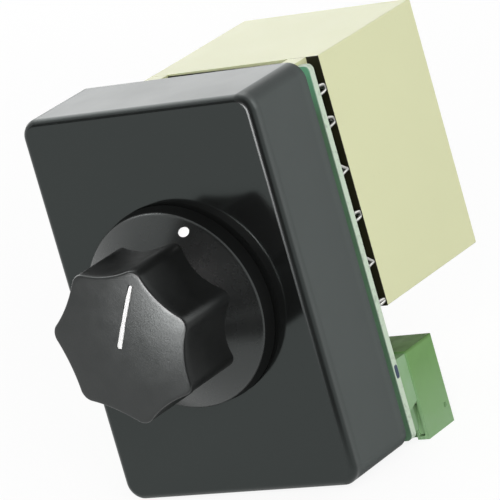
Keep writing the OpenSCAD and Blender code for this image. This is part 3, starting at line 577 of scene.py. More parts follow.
class ATTENUATOR_OT_knob(Operator):
    """Builds the lobed grip, its skirt and the white marks"""
    bl_idname = "attenuator.knob"
    bl_label = "Knob"
    ring_points = 336
    skirt_steps = 160
    base = -5.4 * MM
    side_shares = (0.3, 0.6, 0.9)
    crown_scales = (1.0, 0.93, 0.85, 0.75, 0.64, 0.52, 0.4, 0.28, 0.16, 0.06)
    wall_lean = 0.5
    well_r = 10.2 * MM
    roof = -17.8 * MM
    hub_wall = 1.8 * MM
    screw_hole_r = 2.1 * MM
    screw_hole_span = (8 * MM, 16 * MM)
    groove_half, groove_end, groove_depth = 0.45 * MM, 11.65 * MM, 0.22 * MM
    line_half, line_end, line_rise = 0.35 * MM, 11.5 * MM, 0.07 * MM
    line_start_width, line_taper = 1.16, 28.1
    # Each wave of the line's edge: height, rate along the line, and start
    line_waves = ((0.021 * MM, 900.0, 0.0), (0.018 * MM, 2100.0, 1.0))
    skirt_front = (17.4 * MM, -3.72 * MM)
    lip = 0.4 * MM
    cone_slope = 2.3 / 3.3
    cone_top_r = 11.0 * MM
    collar_r = 10.4 * MM
    skirt_bore = 15.6 * MM
    rim_bore = 15.7 * MM
    spot_r = 15.75 * MM
    spot_turn = math.radians(0.9)
    spot_lean = math.radians(-40)
    spot_oval = (0.98, 1.0, 0.85, 1.0)

    def execute(self, context):
        sizes = context.scene.attenuator_knob
        pointer = Matrix.Rotation(sizes.turn, 4, "Y")
        # Painted shade: the grip's walls take a darker copy of the knob's colour, and the rim a darker one
        # still, for the same moulding lying in shade.
        darker, darkest = shade_of(sizes.tint, 0.7), shade_of(sizes.tint, 0.6)
        top = knob_finish("knob_grip", sizes.tint, 0.34, 0.030 * MM, specular=0.46)
        wall = knob_finish("knob_wall_shaded", darker, 0.36, 0.010 * MM, specular=0.24)
        smooth = knob_finish("knob_skirt", sizes.tint, 0.27, 0.003 * MM, specular=0.66, vary=0.015)
        # Painted shade: the rim's darkest tint stands in for the shade on it, besides its duller gloss.
        dull = knob_finish("knob_rim", darkest, 0.5, 0.006 * MM, specular=0.12)
        white = mark_finish(sizes.mark)
        grip = make_object("knob_grip", self.grip_mesh(sizes))
        groove = self.groove_mesh(sizes, pointer)
        cut_out(grip, groove, self.screw_hole_mesh(), *self.well_meshes(), sharp=55)
        settle(grip, top, CONTROL_BODY, "knob_black", "knob")
        grip.data.materials.append(wall)
        # Faces turned away from the front get the walls' painted-shade material.
        for face in grip.data.polygons:
            face.material_index = int(abs(face.normal.y) < self.wall_lean)
        for name, bm, sharp, finish, slot, node in (
            ("knob_skirt", self.skirt_mesh(), 30, smooth, "knob_black", "knob"),
            # The rim carries the painted-shade tint.
            ("knob_rim", self.rim_mesh(), 30, dull, "knob_black", "knob"),
            ("pointer_fill", self.line_mesh(sizes, pointer), 40, white, "mark_white", "pointer_line"),
            ("skirt_spot", self.spot_mesh(pointer), 40, white, "mark_white", "skirt_dot"),
        ):
            settle(make_object(name, bm, sharp), finish, CONTROL_BODY, slot, node)
        return {"FINISHED"}

    def ring(self, bm, sizes, scale, depth=None):
        """The edges of one lobed ring, at a depth or else along the crown."""
        made = bmesh.ops.create_circle(
            bm, cap_ends=False, segments=self.ring_points, radius=1.0,
            matrix=Matrix.Rotation(math.pi / 2, 4, "X"),
        )
        for vert in made["verts"]:
            angle = math.atan2(vert.co.x, vert.co.z)
            radius = scale * lobe_radius(sizes, angle - sizes.turn)
            y = crown_depth(sizes, radius) if depth is None else depth
            vert.co = (radius * math.sin(angle), y, radius * math.cos(angle))
        return list(dict.fromkeys(e for v in made["verts"] for e in v.link_edges))

    def grip_mesh(self, sizes):
        """The lobed grip as a closed block."""
        bm = bmesh.new()
        rise = crown_depth(sizes, sizes.lobe_r) - self.base
        side = [self.ring(bm, sizes, 1.0, self.base + share * rise) for share in (0.0, *self.side_shares)]
        crown = [self.ring(bm, sizes, scale) for scale in self.crown_scales]
        rings = side + crown
        for first, second in zip(rings, rings[1:]):
            bmesh.ops.bridge_loops(bm, edges=first + second)
        bmesh.ops.edgeloop_fill(bm, edges=crown[-1])
        round_edges(bm, crown[0], sizes.edge, segments=4)
        bmesh.ops.edgeloop_fill(bm, edges=[e for e in bm.edges if e.is_boundary])
        return bm

    def groove_mesh(self, sizes, pointer):
        """The cutter of the pointer's groove, with its floor along the crown."""
        outside, inside = KNOB_LOW.y - 4 * MM, KNOB_LOW.y + MM
        bm = box_mesh((-self.groove_half, outside, -0.15 * MM), (self.groove_half, inside, self.groove_end))
        round_edges(bm, edges_along(bm, Y_AXIS), width=0.4 * MM, segments=6)
        for vert in bm.verts:
            if vert.co.y > KNOB_LOW.y:
                vert.co.y = crown_depth(sizes, vert.co.z) + self.groove_depth
        return moved(bm, pointer)

    def screw_hole_mesh(self):
        """The cutter of the set screw's hole."""
        screw = sum(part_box("knob_set_screw"), Vector()) / 2
        away = Vector((screw.x, 0, screw.z)).normalized()
        start, end = (away * reach + Y_AXIS * screw.y for reach in self.screw_hole_span)
        return cylinder_mesh(start, end, self.screw_hole_r)

    def well_meshes(self):
        """The cutters of the hollow round the grip's hub and of the bush's bore."""
        bush_low, bush_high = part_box("knob_bush")
        hub_r = bush_high.x + self.hub_wall
        mouth = self.base + MM
        well = spun([
            (0.0, mouth), (self.well_r, mouth), (self.well_r, self.roof), (hub_r, self.roof),
            (hub_r, bush_high.y), (0.0, bush_high.y),
        ], closed=False)
        bore_r = bush_high.x + 0.02 * MM
        return well, cylinder_mesh((0, mouth, 0), (0, bush_low.y, 0), bore_r, segments=64)

    def skirt_mesh(self):
        """The skirt: a small lip and the cone up to the grip, on the core of the rim."""
        lip_r, lip_y = self.skirt_front
        lip = self.lip
        core = 0.05 * MM
        top_y = lip_y - (lip_r - self.cone_top_r) * self.cone_slope
        return spun([
            (self.skirt_bore, KNOB_HIGH.y - core), (KNOB_HIGH.x - 6 * core, KNOB_HIGH.y - core),
            (lip_r - core, lip_y + lip + core), (lip_r + core, lip_y + lip - core),
            (lip_r - 0.1 * lip, lip_y + 0.3 * lip), (lip_r - 0.4 * lip, lip_y - 0.12 * lip),
            (lip_r - lip, lip_y - lip * self.cone_slope),
            (self.cone_top_r, top_y), (self.collar_r, top_y), (self.collar_r, -3.4 * MM),
            (self.skirt_bore, -2.9 * MM),
        ], self.skirt_steps)

    def rim_mesh(self):
        """The skirt's steep rim, a sleeve over its core."""
        rim_r, back = KNOB_HIGH.x, KNOB_HIGH.y
        lip_r, lip_y = self.skirt_front
        front = lip_y + self.lip - 0.02 * MM
        chamfer = 0.18 * MM
        return spun([
            (self.rim_bore, back), (rim_r - chamfer, back), (rim_r, back - chamfer),
            (lip_r + 0.05 * MM, front), (lip_r - 0.6 * MM, front), (self.rim_bore, back - 0.5 * MM),
        ], self.skirt_steps)

    def line_mesh(self, sizes, pointer):
        """The filled pointer line, laid along the crown with a slightly ragged edge."""
        thick = 0.1 * MM
        bm = box_mesh((-self.line_half, -thick, -0.05 * MM), (self.line_half, thick, self.line_end))
        round_edges(bm, edges_along(bm, Y_AXIS), width=0.32 * MM, segments=6)
        bmesh.ops.subdivide_edges(bm, edges=edges_along(bm, Z_AXIS), cuts=14)
        for vert in bm.verts:
            along = vert.co.z
            side = 1.0 if vert.co.x > 0 else -1.0
            ragged = sum(height * math.sin(along * rate + start) for height, rate, start in self.line_waves)
            width = self.line_start_width - self.line_taper * along
            vert.co.x = vert.co.x * width + ragged * side
            vert.co.y += crown_depth(sizes, along) + self.line_rise
        return moved(bm, pointer)

    def spot_mesh(self, pointer):
        """The filled oval spot on the skirt, a little dished."""
        outline = profile(
            0.0, (0.0, -0.05), (0.4, -0.055), (0.72, -0.06), (0.9, -0.05), (1.0, 0.0), (1.0, 0.25),
            (0.0, 0.25),
        )
        lip_r, lip_y = self.skirt_front
        depth = lip_y - (lip_r - self.spot_r) * self.cone_slope
        lean = Matrix.Rotation(self.spot_lean, 4, "Y")
        oval = lean @ Matrix.Diagonal(self.spot_oval) @ lean.inverted()
        tilt = Matrix.Rotation(-math.atan(self.cone_slope), 4, "X")
        turn = Matrix.Rotation(self.spot_turn, 4, "Y")
        place = pointer @ turn @ Matrix.Translation((0, depth, self.spot_r)) @ tilt @ oval
        return moved(spun(outline, steps=40, closed=False), place)


def knob_finish(name, tint, roughness, depth, specular, vary=0.05):
    """Black moulding with a fine spark-eroded grain."""
    look = Finish(name, roughness, specular=specular)
    look.give("Specular Tint", (0.93, 1.0, 0.985))
    mix = look.shaded(look.noise(120.0, 4.0), tint, 0.85, 1.15)
    gloss = look.drift(roughness - vary, roughness + vary, 300.0, 5.0)
    grain = look.worked("ADD", look.noise(3200.0), look.noise(1100.0, 2.0))
    return look.dress(mix, gloss, grain, depth, strength=0.5)


def mark_finish(tint, roughness=0.55):
    """White filler with small pits and soft stains."""
    look = Finish("mark", roughness)
    pits = look.noise(1500.0, 4.0)
    mix = look.shaded(look.spread(pits, 0.58, 0.8), tint, 1.0, 0.86)
    return look.dress(mix, roughness, pits, 0.012 * MM)


class ATTENUATOR_OT_board(Operator):
    """Dresses the circuit board, its screws and its solder joints"""
    bl_idname = "attenuator.board"
    bl_label = "Circuit board"
    screw_places = ((-20.0 * MM, 29.45 * MM), (-20.0 * MM, -29.45 * MM), (20.0 * MM, -14.85 * MM))
    pin_ring = 9.5 * MM
    common_ring = 4.4 * MM
    leg_places = (-15.7 * MM, 15.7 * MM)
    leg_fillet = (1.3 * MM, 2.7 * MM)

    def execute(self, context):
        settings = context.scene.attenuator_board
        paint_nodes(board_finish(settings), "circuit_board")
        plated = metal("plated_steel", (0.70, 0.70, 0.68), 0.22)
        screws = make_object("board_screw_set", self.screw_mesh())
        cut_out(screws, *self.cross_meshes(), sharp=35)
        settle(screws, plated, FRAME_BODY, "plated_steel", "board_screws")
        solder = metal("solder", (0.74, 0.75, 0.76), 0.2, grain=900.0, depth=0.01 * MM)
        joints = make_object("solder_joints", self.solder_mesh(), sharp=50)
        settle(joints, solder, FRAME_BODY, "tinned")
        return {"FINISHED"}

    def screw_mesh(self):
        """Pan-headed screws through the board into the housing."""
        low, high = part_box("board_screws")
        outline = profile(low.y, (0.0, 0.0), (1.1, 0.5), (1.43, 1.5))
        outline += profile(
            BOARD_HIGH.y, (1.43, 0.0), (2.62, 0.0), (2.7, 0.1), (2.68, 0.75), (2.5, 1.25), (2.1, 1.65),
        )
        outline += profile(high.y, (1.5, -0.06), (0.7, 0.0), (0.0, 0.0))
        return joined(*spun_copies(outline, 48, self.screw_places))

    def cross_meshes(self):
        """The cutters of the cross recesses in the screw heads."""
        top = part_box("board_screws")[1].y
        half, depth, slot = 1.5 * MM, 1.1 * MM, 0.3 * MM
        cuts = []
        for number, (x, z) in enumerate(self.screw_places):
            for turn in (20 + 50 * number, 110 + 50 * number):
                bm = box_mesh((-half, top - depth, -slot), (half, top + MM, slot))
                narrow(bm, [v for v in bm.verts if v.co.y < top], 0.45, 0.8)
                place = Matrix.Translation((x, 0, z)) @ Matrix.Rotation(math.radians(turn), 4, "Y")
                cuts.append(moved(bm, place))
        return cuts

    def solder_mesh(self):
        """Fillets round the switch's pins and legs on the board's back."""
        back = BOARD_HIGH.y
        fillet = profile(
            back, (0.0, -0.05), (1.0, -0.05), (0.98, 0.06), (0.72, 0.22), (0.55, 0.5), (0.47, 0.78),
            (0.0, 0.8),
        )
        pins = [(self.pin_ring, math.radians(angle)) for angle in range(-150, 151, 30)]
        pins.append((self.common_ring, math.pi))
        parts = spun_copies(fillet, 24, [(r * math.sin(turn), r * math.cos(turn)) for r, turn in pins])
        wide, tall = self.leg_fillet
        for middle in self.leg_places:
            bm = box_mesh((-wide, back - 0.05 * MM, -tall), (wide, back + 0.75 * MM, tall))
            round_edges(bm, edges_along(bm, Y_AXIS), width=0.9 * MM, segments=4)
            narrow(bm, [v for v in bm.verts if v.co.y > back], 0.56, 0.8)
            parts.append(moved(bm, Matrix.Translation((middle, 0, 0))))
        return joined(*parts)


def board_finish(settings):
    """Solder mask on the faces, with a painted highlight towards the top, bare laminate on the edges and one
    dab of ink.
    """
    look = Finish("board", 0.38)
    place = look.parts(look.place)
    flat = look.worked("ABSOLUTE", look.parts(look.normal)["Y"])
    run_over = look.spread(place["Y"], BOARD_LOW.y + 0.2 * MM, BOARD_LOW.y + 0.3 * MM, 1.0, 0.0)
    on_face = look.worked("MAXIMUM", look.spread(flat, 0.45, 0.55), run_over)
    fibres = look.noise(900.0, 4.0, distortion=0.6)
    bare = look.shaded(look.spread(fibres, 0.52, 0.72), settings.laminate, 1.0, 0.72)
    mask = look.shaded(look.noise(320.0, 4.0), settings.mask, 0.8, 1.25)
    # Painted highlight: the mask turns lighter towards the board's top.
    highlight_share = look.spread(place["Z"], BOARD_HIGH.z - 9 * MM, BOARD_HIGH.z - MM, 0.0, 0.9)
    mask = look.tinted(highlight_share, mask, settings.mask_highlight)
    dab = add_node(look.tree, "Mapping", {
        "Vector": look.place, "Location": (BOARD_HIGH.x, BOARD_HIGH.y - 0.55 * MM, -21.4 * MM),
        "Scale": (1.2 * MM, 0.56 * MM, 1.3 * MM),
    }, vector_type="TEXTURE")[0]
    squared = add_node(look.tree, "VectorMath", {0: dab, 1: dab}, operation="MULTIPLY")[0]
    reach = add_node(look.tree, "VectorMath", {0: squared}, operation="LENGTH")["Value"]
    edge = look.tinted(look.spread(reach, 0.7, 1.0, 1.0, 0.0), bare, settings.ink)
    gloss = look.spread(on_face, 0.0, 1.0, 0.62, 0.3)
    return look.dress(look.tinted(on_face, edge, mask), gloss, fibres, 0.012 * MM)


class ATTENUATOR_OT_transformer(Operator):
    """Builds the cream case, its resin skin and the tap leads, and dresses what is inside"""
    bl_idname = "attenuator.transformer"
    bl_label = "Transformer"
    # Each lead: share of the case's height, then upper foot, lower foot and apex in mm, then bow
    leads = (
        (0.1230, 0.75, -0.70, -0.05, 1.0), (0.2528, 0.95, -0.70, -0.15, 0.8),
        (0.4430, 0.90, -0.55, -0.25, 0.1), (0.6286, 0.68, -0.60, 0.00, 1.0),
        (0.8143, 1.00, -0.55, -0.30, 0.1), (0.9754, 0.35, -0.30, 0.00, 0.9),
    )
    lead_x = CASE_HIGH.x - 0.38 * MM
    root_x = CASE_HIGH.x - 1.2 * MM
    lead_top = CASE_MOUTH - 0.22 * MM
    foot_in = 2.5 * MM
    slim = 0.02 * MM
    skin = 0.14 * MM
    skin_cuts = 30
    ripple_x, ripple_z, ripple_lean = 900.0, 700.0, 300.0
    dip_start, dip_slope, dip_end = 0.22 * MM, 0.4 * MM, 0.83
    foot_root, knee_root = 0.8 * MM, 0.4 * MM
    knee_low, knee_high = 2.0 * MM, 0.3 * MM

    def execute(self, context):
        sizes = context.scene.attenuator_transformer
        case = make_object("cream_case", self.case_mesh(sizes), sharp=45)
        even_shading(case)
        settle(case, case_finish(sizes.cream), FRAME_BODY, "case_cream", "transformer_case")
        resin = resin_finish(sizes.resin)
        paint_nodes(resin, "potting")
        settle(make_object("resin_skin", self.resin_mesh(), sharp=50), resin, FRAME_BODY, "potting_black")
        leads = make_object("tap_lead_loops", self.lead_mesh(sizes), sharp=60)
        tin = metal("tinned_wire", (0.44, 0.44, 0.42), 0.38, grain=1600.0, depth=0.010 * MM)
        settle(leads, tin, FRAME_BODY, "tinned", "tap_leads")
        paint_nodes(metal("core_steel", (0.30, 0.30, 0.31), 0.45), "core_e_stack", "core_i_stack")
        paint_nodes(moulding("bobbin", (0.78, 0.76, 0.68), 0.45, 0.004 * MM), "bobbin")
        paint_nodes(metal("copper_wire", (0.70, 0.33, 0.17), 0.3), "winding")
        return {"FINISHED"}

    def case_mesh(self, sizes):
        """An open box with rounded edges; lower feet stand on the board, upper feet hook over it."""
        front, slim = CASE_MOUTH, self.slim
        bm = box_mesh((CASE_LOW.x, front, CASE_LOW.z), CASE_HIGH)
        outer = [e for e in bm.edges if not all(v.co.y < front + TINY for v in e.verts)]
        round_edges(bm, outer, sizes.edge, segments=4)
        mouth = min(bm.faces, key=lambda f: f.calc_center_median().y)
        hollow(bm, mouth, sizes.wall, CASE_HIGH.y - front - sizes.wall)
        parts = [bm]
        for x in (CASE_LOW.x + slim, CASE_HIGH.x - self.foot_in - sizes.foot):
            for toe, z in ((BOARD_HIGH.y, CASE_LOW.z), (CASE_LOW.y, CASE_HIGH.z - sizes.wall)):
                root = front + self.foot_root
                foot = box_mesh((x, toe, z + slim), (x + sizes.foot, root, z + sizes.wall - slim))
                corners = [e for e in edges_along(foot, Z_AXIS) if e.verts[0].co.y < front]
                round_edges(foot, corners, width=0.35 * MM, segments=3)
                parts.append(foot)
            parts.append(box_mesh(
                (x + slim, BOARD_HIGH.y, CASE_HIGH.z - self.knee_low),
                (x + sizes.foot - slim, front + self.knee_root, CASE_HIGH.z - self.knee_high),
            ))
        return joined(*parts)

    def resin_mesh(self):
        """The resin's wavy skin over the case's open face, run out to the rim."""
        margin = Vector((self.slim, 0, self.slim))
        bm = box_mesh(
            Vector((CASE_LOW.x, CASE_MOUTH - self.skin, CASE_LOW.z)) + margin,
            Vector((CASE_HIGH.x, CASE_MOUTH, CASE_HIGH.z)) - margin,
        )
        bmesh.ops.subdivide_edges(
            bm, edges=edges_along(bm, X_AXIS) + edges_along(bm, Z_AXIS), cuts=self.skin_cuts,
            use_grid_fill=True,
        )
        for vert in bm.verts:
            x, y, z = vert.co
            across = (x - CASE_LOW.x) / (CASE_HIGH.x - CASE_LOW.x)
            if z > CASE_HIGH.z - 0.1 * MM and across < self.dip_end:
                z -= self.dip_start + self.dip_slope * across
            if y < CASE_MOUTH - self.skin / 2:
                wave = math.sin(x * self.ripple_x) * math.cos(z * self.ripple_z + x * self.ripple_lean)
                y += self.skin * (1.0 + wave) / 4
            vert.co = (x, y, z)
        return bm

    def leg_points(self, foot, apex, bow):
        """Points of a lead from its foot in the board nearly up to its apex."""
        board = BOARD_HIGH.y
        knee = foot + (apex - foot) * (0.55 - 0.5 * bow)
        shoulder = apex + (foot - apex) * 0.75 * bow
        points = ((board - 0.02 * MM, foot), (board + 0.4 * MM, foot), (board + 1.2 * MM, knee))
        return [(self.lead_x, y, z) for y, z in (*points, (self.lead_top, shoulder))]

    def lead_mesh(self, sizes):
        """Short wire loops between the potting and the board, with their solder."""
        x, top = self.lead_x, self.lead_top
        fillet = profile(
            BOARD_HIGH.y, (0.0, -0.05), (0.42, -0.05), (0.42, 0.05), (0.37, 0.22), (0.3, 0.45), (0.0, 0.5),
        )
        paths = []
        blobs = []
        for share, *heights, bow in self.leads:
            middle = CASE_HIGH.z - share * (CASE_HIGH.z - CASE_LOW.z)
            high, low, apex = (middle + height * MM for height in heights)
            down = self.leg_points(low, apex, bow)[::-1]
            paths.append([*self.leg_points(high, apex, bow), (x, top + 0.12 * MM, apex), *down])
            paths.append([
                (x - 0.05 * MM, top, apex), (x - 0.35 * MM, top + 0.02 * MM, apex),
                (self.root_x + 0.1 * MM, top + 0.1 * MM, apex), (self.root_x, CASE_MOUTH + 0.6 * MM, apex),
            ])
            blobs += spun_copies(fillet, 20, ((x, high), (x, low)))
        return joined(wire_mesh(paths, sizes.wire / 2), *blobs)


def case_finish(tint):
    """Smooth cream moulding, a little mottled and scuffed."""
    look = Finish("case", 0.36, specular=0.4)
    mix = look.shaded(look.noise(38.0), tint, 0.975, 1.025)
    specks = look.spread(look.noise(1300.0), 0.68, 0.8, 0.0, 0.35)
    mix = look.tinted(specks, mix, shade_of(tint, 0.82))
    return look.dress(mix, look.drift(0.46, 0.505, 180.0, 5.0), look.noise(900.0), 0.006 * MM)


def resin_finish(tint):
    """Cast resin with an uneven, pitted skin."""
    look = Finish("resin", 0.4, specular=0.32)
    mix = look.shaded(look.noise(240.0, 4.0), tint, 0.6, 1.9)
    return look.dress(mix, look.drift(0.3, 0.6, 350.0, 4.0), look.noise(500.0, 4.0), 0.08 * MM)


class ATTENUATOR_OT_terminals(Operator):
    """Builds the terminal block and dresses its screws, cages and pins"""
    bl_idname = "attenuator.terminals"
    bl_label = "Terminals"
    foot_in = 0.3 * MM
    low_cut = BLOCK_LOW.z + 2.0 * MM
    head = 1.7 * MM
    head_gap = 0.04 * MM
    neck_r = 1.35 * MM
    wire_r = 1.4 * MM
    wire_rise = 2.5 * MM
    cage_gap = Vector((0.1 * MM, 0.0, 0.1 * MM))
    cage_room = Vector((0.0, 2.1 * MM, 1.05 * MM))
    pocket_depth = 1.5 * MM
    pocket_top = BLOCK_HIGH.z - 8.6 * MM
    dimple = Vector((BLOCK_HIGH.x, 29.2 * MM, -31.8 * MM))
    dimple_r = 0.44 * MM

    def execute(self, context):
        sizes = context.scene.attenuator_terminals
        block = make_object("terminal_body", self.body_mesh())
        cut_out(block, *self.way_cuts(), *self.side_cuts(), sharp=30)
        soften(block, sizes.edge)
        settle(block, block_finish(sizes), FRAME_BODY, "terminal_green", "terminal_housing")
        paint_nodes(bpy.data.materials["plated_steel"], *["terminal_screw_%d" % way for way in WAYS])
        cage_steel = metal("cage_steel", (0.66, 0.62, 0.52), 0.3)
        paint_nodes(cage_steel, *["clamp_cage_%d" % way for way in WAYS])
        paint_nodes(bpy.data.materials["solder"], "terminal_pins")
        return {"FINISHED"}

    def body_mesh(self):
        """The block's tower and its narrower foot."""
        tower = make_object("tower", box_mesh((BLOCK_LOW.x, BLOCK_FOOT, BLOCK_LOW.z), BLOCK_HIGH))
        foot = make_object("foot", box_mesh(
            (BLOCK_LOW.x + self.foot_in, BLOCK_LOW.y, BLOCK_LOW.z),
            (BLOCK_HIGH.x - self.foot_in, BLOCK_FOOT + 0.5 * MM, BLOCK_HIGH.z - 0.4 * MM),
        ))
        mesh = combined(tower, [foot], "UNION", "EXACT")
        bm = bmesh.new()
        bm.from_mesh(mesh)
        for data in (mesh, tower.data):
            bpy.data.meshes.remove(data)
        return bm

    def way_cuts(self):
        """The cutters of each way's screw well, neck, cage chamber and wire entry."""
        cuts = []
        for way in WAYS:
            low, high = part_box("terminal_screw_%d" % way)
            cage_low, cage_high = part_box("clamp_cage_%d" % way)
            x, _y, z = (low + high) / 2
            well_y = high.y - self.head
            well_r = (high.x - low.x) / 2 + self.head_gap
            wire_y = cage_low.y + self.wire_rise
            cuts.append(cylinder_mesh((x, well_y, z), (x, BLOCK_HIGH.y + MM, z), well_r))
            cuts.append(cylinder_mesh((x, cage_high.y, z), (x, well_y + 0.1 * MM, z), self.neck_r))
            chamber = Vector((cage_low.x, BLOCK_LOW.y - MM, cage_low.z)) - self.cage_gap
            cuts.append(box_mesh(chamber, cage_high + self.cage_room + self.cage_gap))
            entry = (x, wire_y, BLOCK_LOW.z - MM)
            cuts.append(cylinder_mesh(entry, (x, wire_y, cage_low.z + 0.5 * MM), self.wire_r))
        return cuts

    def side_cuts(self):
        """The cutters of the foot's lower end, the side pocket, its window and small mould marks."""
        right, low = BLOCK_HIGH.x, BLOCK_LOW.z
        window_y = BLOCK_FOOT - 0.1 * MM
        foot_end = box_mesh(
            (BLOCK_LOW.x - MM, BLOCK_LOW.y - MM, low - 2 * MM), (right + MM, BLOCK_FOOT, self.low_cut),
        )
        window = box_mesh(
            (right - 1.8 * MM, window_y, low + 0.9 * MM),
            (right - 0.65 * MM, BLOCK_FOOT + 0.25 * MM, BLOCK_HIGH.z - 9.0 * MM),
        )
        for vert in window.verts:
            if vert.co.z > self.low_cut and vert.co.y > BLOCK_FOOT:
                vert.co.y += 1.6 * MM
        notch = box_mesh(
            (right - 1.9 * MM, window_y, low + 0.6 * MM),
            (right - 0.75 * MM, BLOCK_FOOT + 1.1 * MM, low + 0.95 * MM),
        )
        inside, outside = self.dimple - X_AXIS * 0.9 * MM, self.dimple + X_AXIS * MM
        dimple = cylinder_mesh(inside, outside, self.dimple_r, segments=20)
        return foot_end, self.pocket_mesh(), window, notch, dimple

    def pocket_mesh(self):
        """The cutter of the sloping pocket in the foot's right side."""
        bm = box_mesh(
            (BLOCK_HIGH.x - self.pocket_depth, BLOCK_LOW.y - MM, BLOCK_LOW.z - MM),
            (BLOCK_HIGH.x + MM, BLOCK_FOOT, self.pocket_top - 0.3 * MM),
        )
        for vert in bm.verts:
            if vert.co.z > self.pocket_top - MM and vert.co.y < BLOCK_FOOT - MM:
                vert.co.z = self.pocket_top - 1.7 * MM
        return bm


def block_finish(sizes):
    """Green polyamide with painted light and shade: paler towards its lower end and darker on top under the
    case; paler again on its foot.
    """
    look = Finish("terminal_green", 0.6, specular=0.12)
    place = look.parts(look.place)
    # Painted light: paler towards the lower end.
    lower_light_share = look.spread(place["Z"], BLOCK_LOW.z, BLOCK_HIGH.z - 3 * MM, 1.0, 0.0)
    # The foot in front of the tower is made paler.
    low_part = look.spread(place["Y"], BLOCK_FOOT - 0.1 * MM, BLOCK_FOOT + 0.05 * MM, 0.8, 0.0)
    # Painted shade: the top darkens under the case.
    top_shade = look.spread(place["Z"], BLOCK_HIGH.z - 0.6 * MM, BLOCK_HIGH.z, 0.0, 0.9)
    cloud = look.spread(look.noise(300.0, 4.0), 0.35, 0.7, 0.0, 0.3)
    mix = look.tinted(lower_light_share, sizes.tint, sizes.pale)
    mix = look.tinted(low_part, mix, sizes.paler_foot)
    mix = look.tinted(top_shade, mix, sizes.shaded_top)
    mix = look.tinted(cloud, mix, shade_of(sizes.tint, 1.25))
    return look.dress(mix, look.drift(0.55, 0.66, 260.0, 5.0), look.noise(1500.0, 2.0), 0.006 * MM)


class ATTENUATOR_OT_switch(Operator):
    """Dresses the switch and the fixings behind the knob"""
    bl_idname = "attenuator.switch"
    bl_label = "Switch"

    def execute(self, context):
        paint_nodes(bpy.data.materials["plated_steel"], "switch_plate", "panel_nut", "lock_washer")
        brass = metal("brass", (0.78, 0.60, 0.30), 0.26)
        paint_nodes(brass, "knob_bush", "switch_shaft", "switch_bushing")
        steel = metal("steel", (0.55, 0.55, 0.54), 0.34)
        paint_nodes(steel, "knob_set_screw", "shaft_clip", "detent_balls", "detent_springs", "stop_pin")
        silver = metal("silver_contact", (0.82, 0.80, 0.74), 0.25)
        paint_nodes(silver, "wiper_contact", "fixed_contacts", "common_contact")
        brown = moulding("switch_moulding", (0.055, 0.038, 0.028), 0.42, 0.005 * MM)
        paint_nodes(brown, "switch_body", "switch_base")
        nylon = moulding("nylon", (0.74, 0.72, 0.65), 0.5, 0.005 * MM)
        paint_nodes(nylon, "detent_wheel", "switch_rotor")
        return {"FINISHED"}


def area_light(name, place, aim, size, level, mirrored):
    """A rectangular light that faces a point; it is either mirrored in gloss or lights matt surfaces."""
    data = bpy.data.lights.new(name, "AREA")
    data.shape = "RECTANGLE"
    data.size, data.size_y = size
    data.energy = level * math.pi * size[0] * size[1]
    obj = bpy.data.objects.new(name, data)
    obj.location = place
    obj.rotation_euler = (Vector(aim) - Vector(place)).to_track_quat("-Z", "Y").to_euler()
    obj.visible_camera = False
    obj.visible_diffuse = not mirrored
    obj.visible_glossy = mirrored
    bpy.context.scene.collection.objects.link(obj)
    return obj


def open_rays(tree):
    """One for rays from the camera, from gloss and through glass, else nought."""
    path = add_node(tree, "LightPath", {})
    value = path["Is Camera Ray"]
    for name in ("Is Glossy Ray", "Is Transmission Ray"):
        value = add_node(tree, "Math", {0: value, 1: path[name]}, operation="MAXIMUM")[0]
    return value


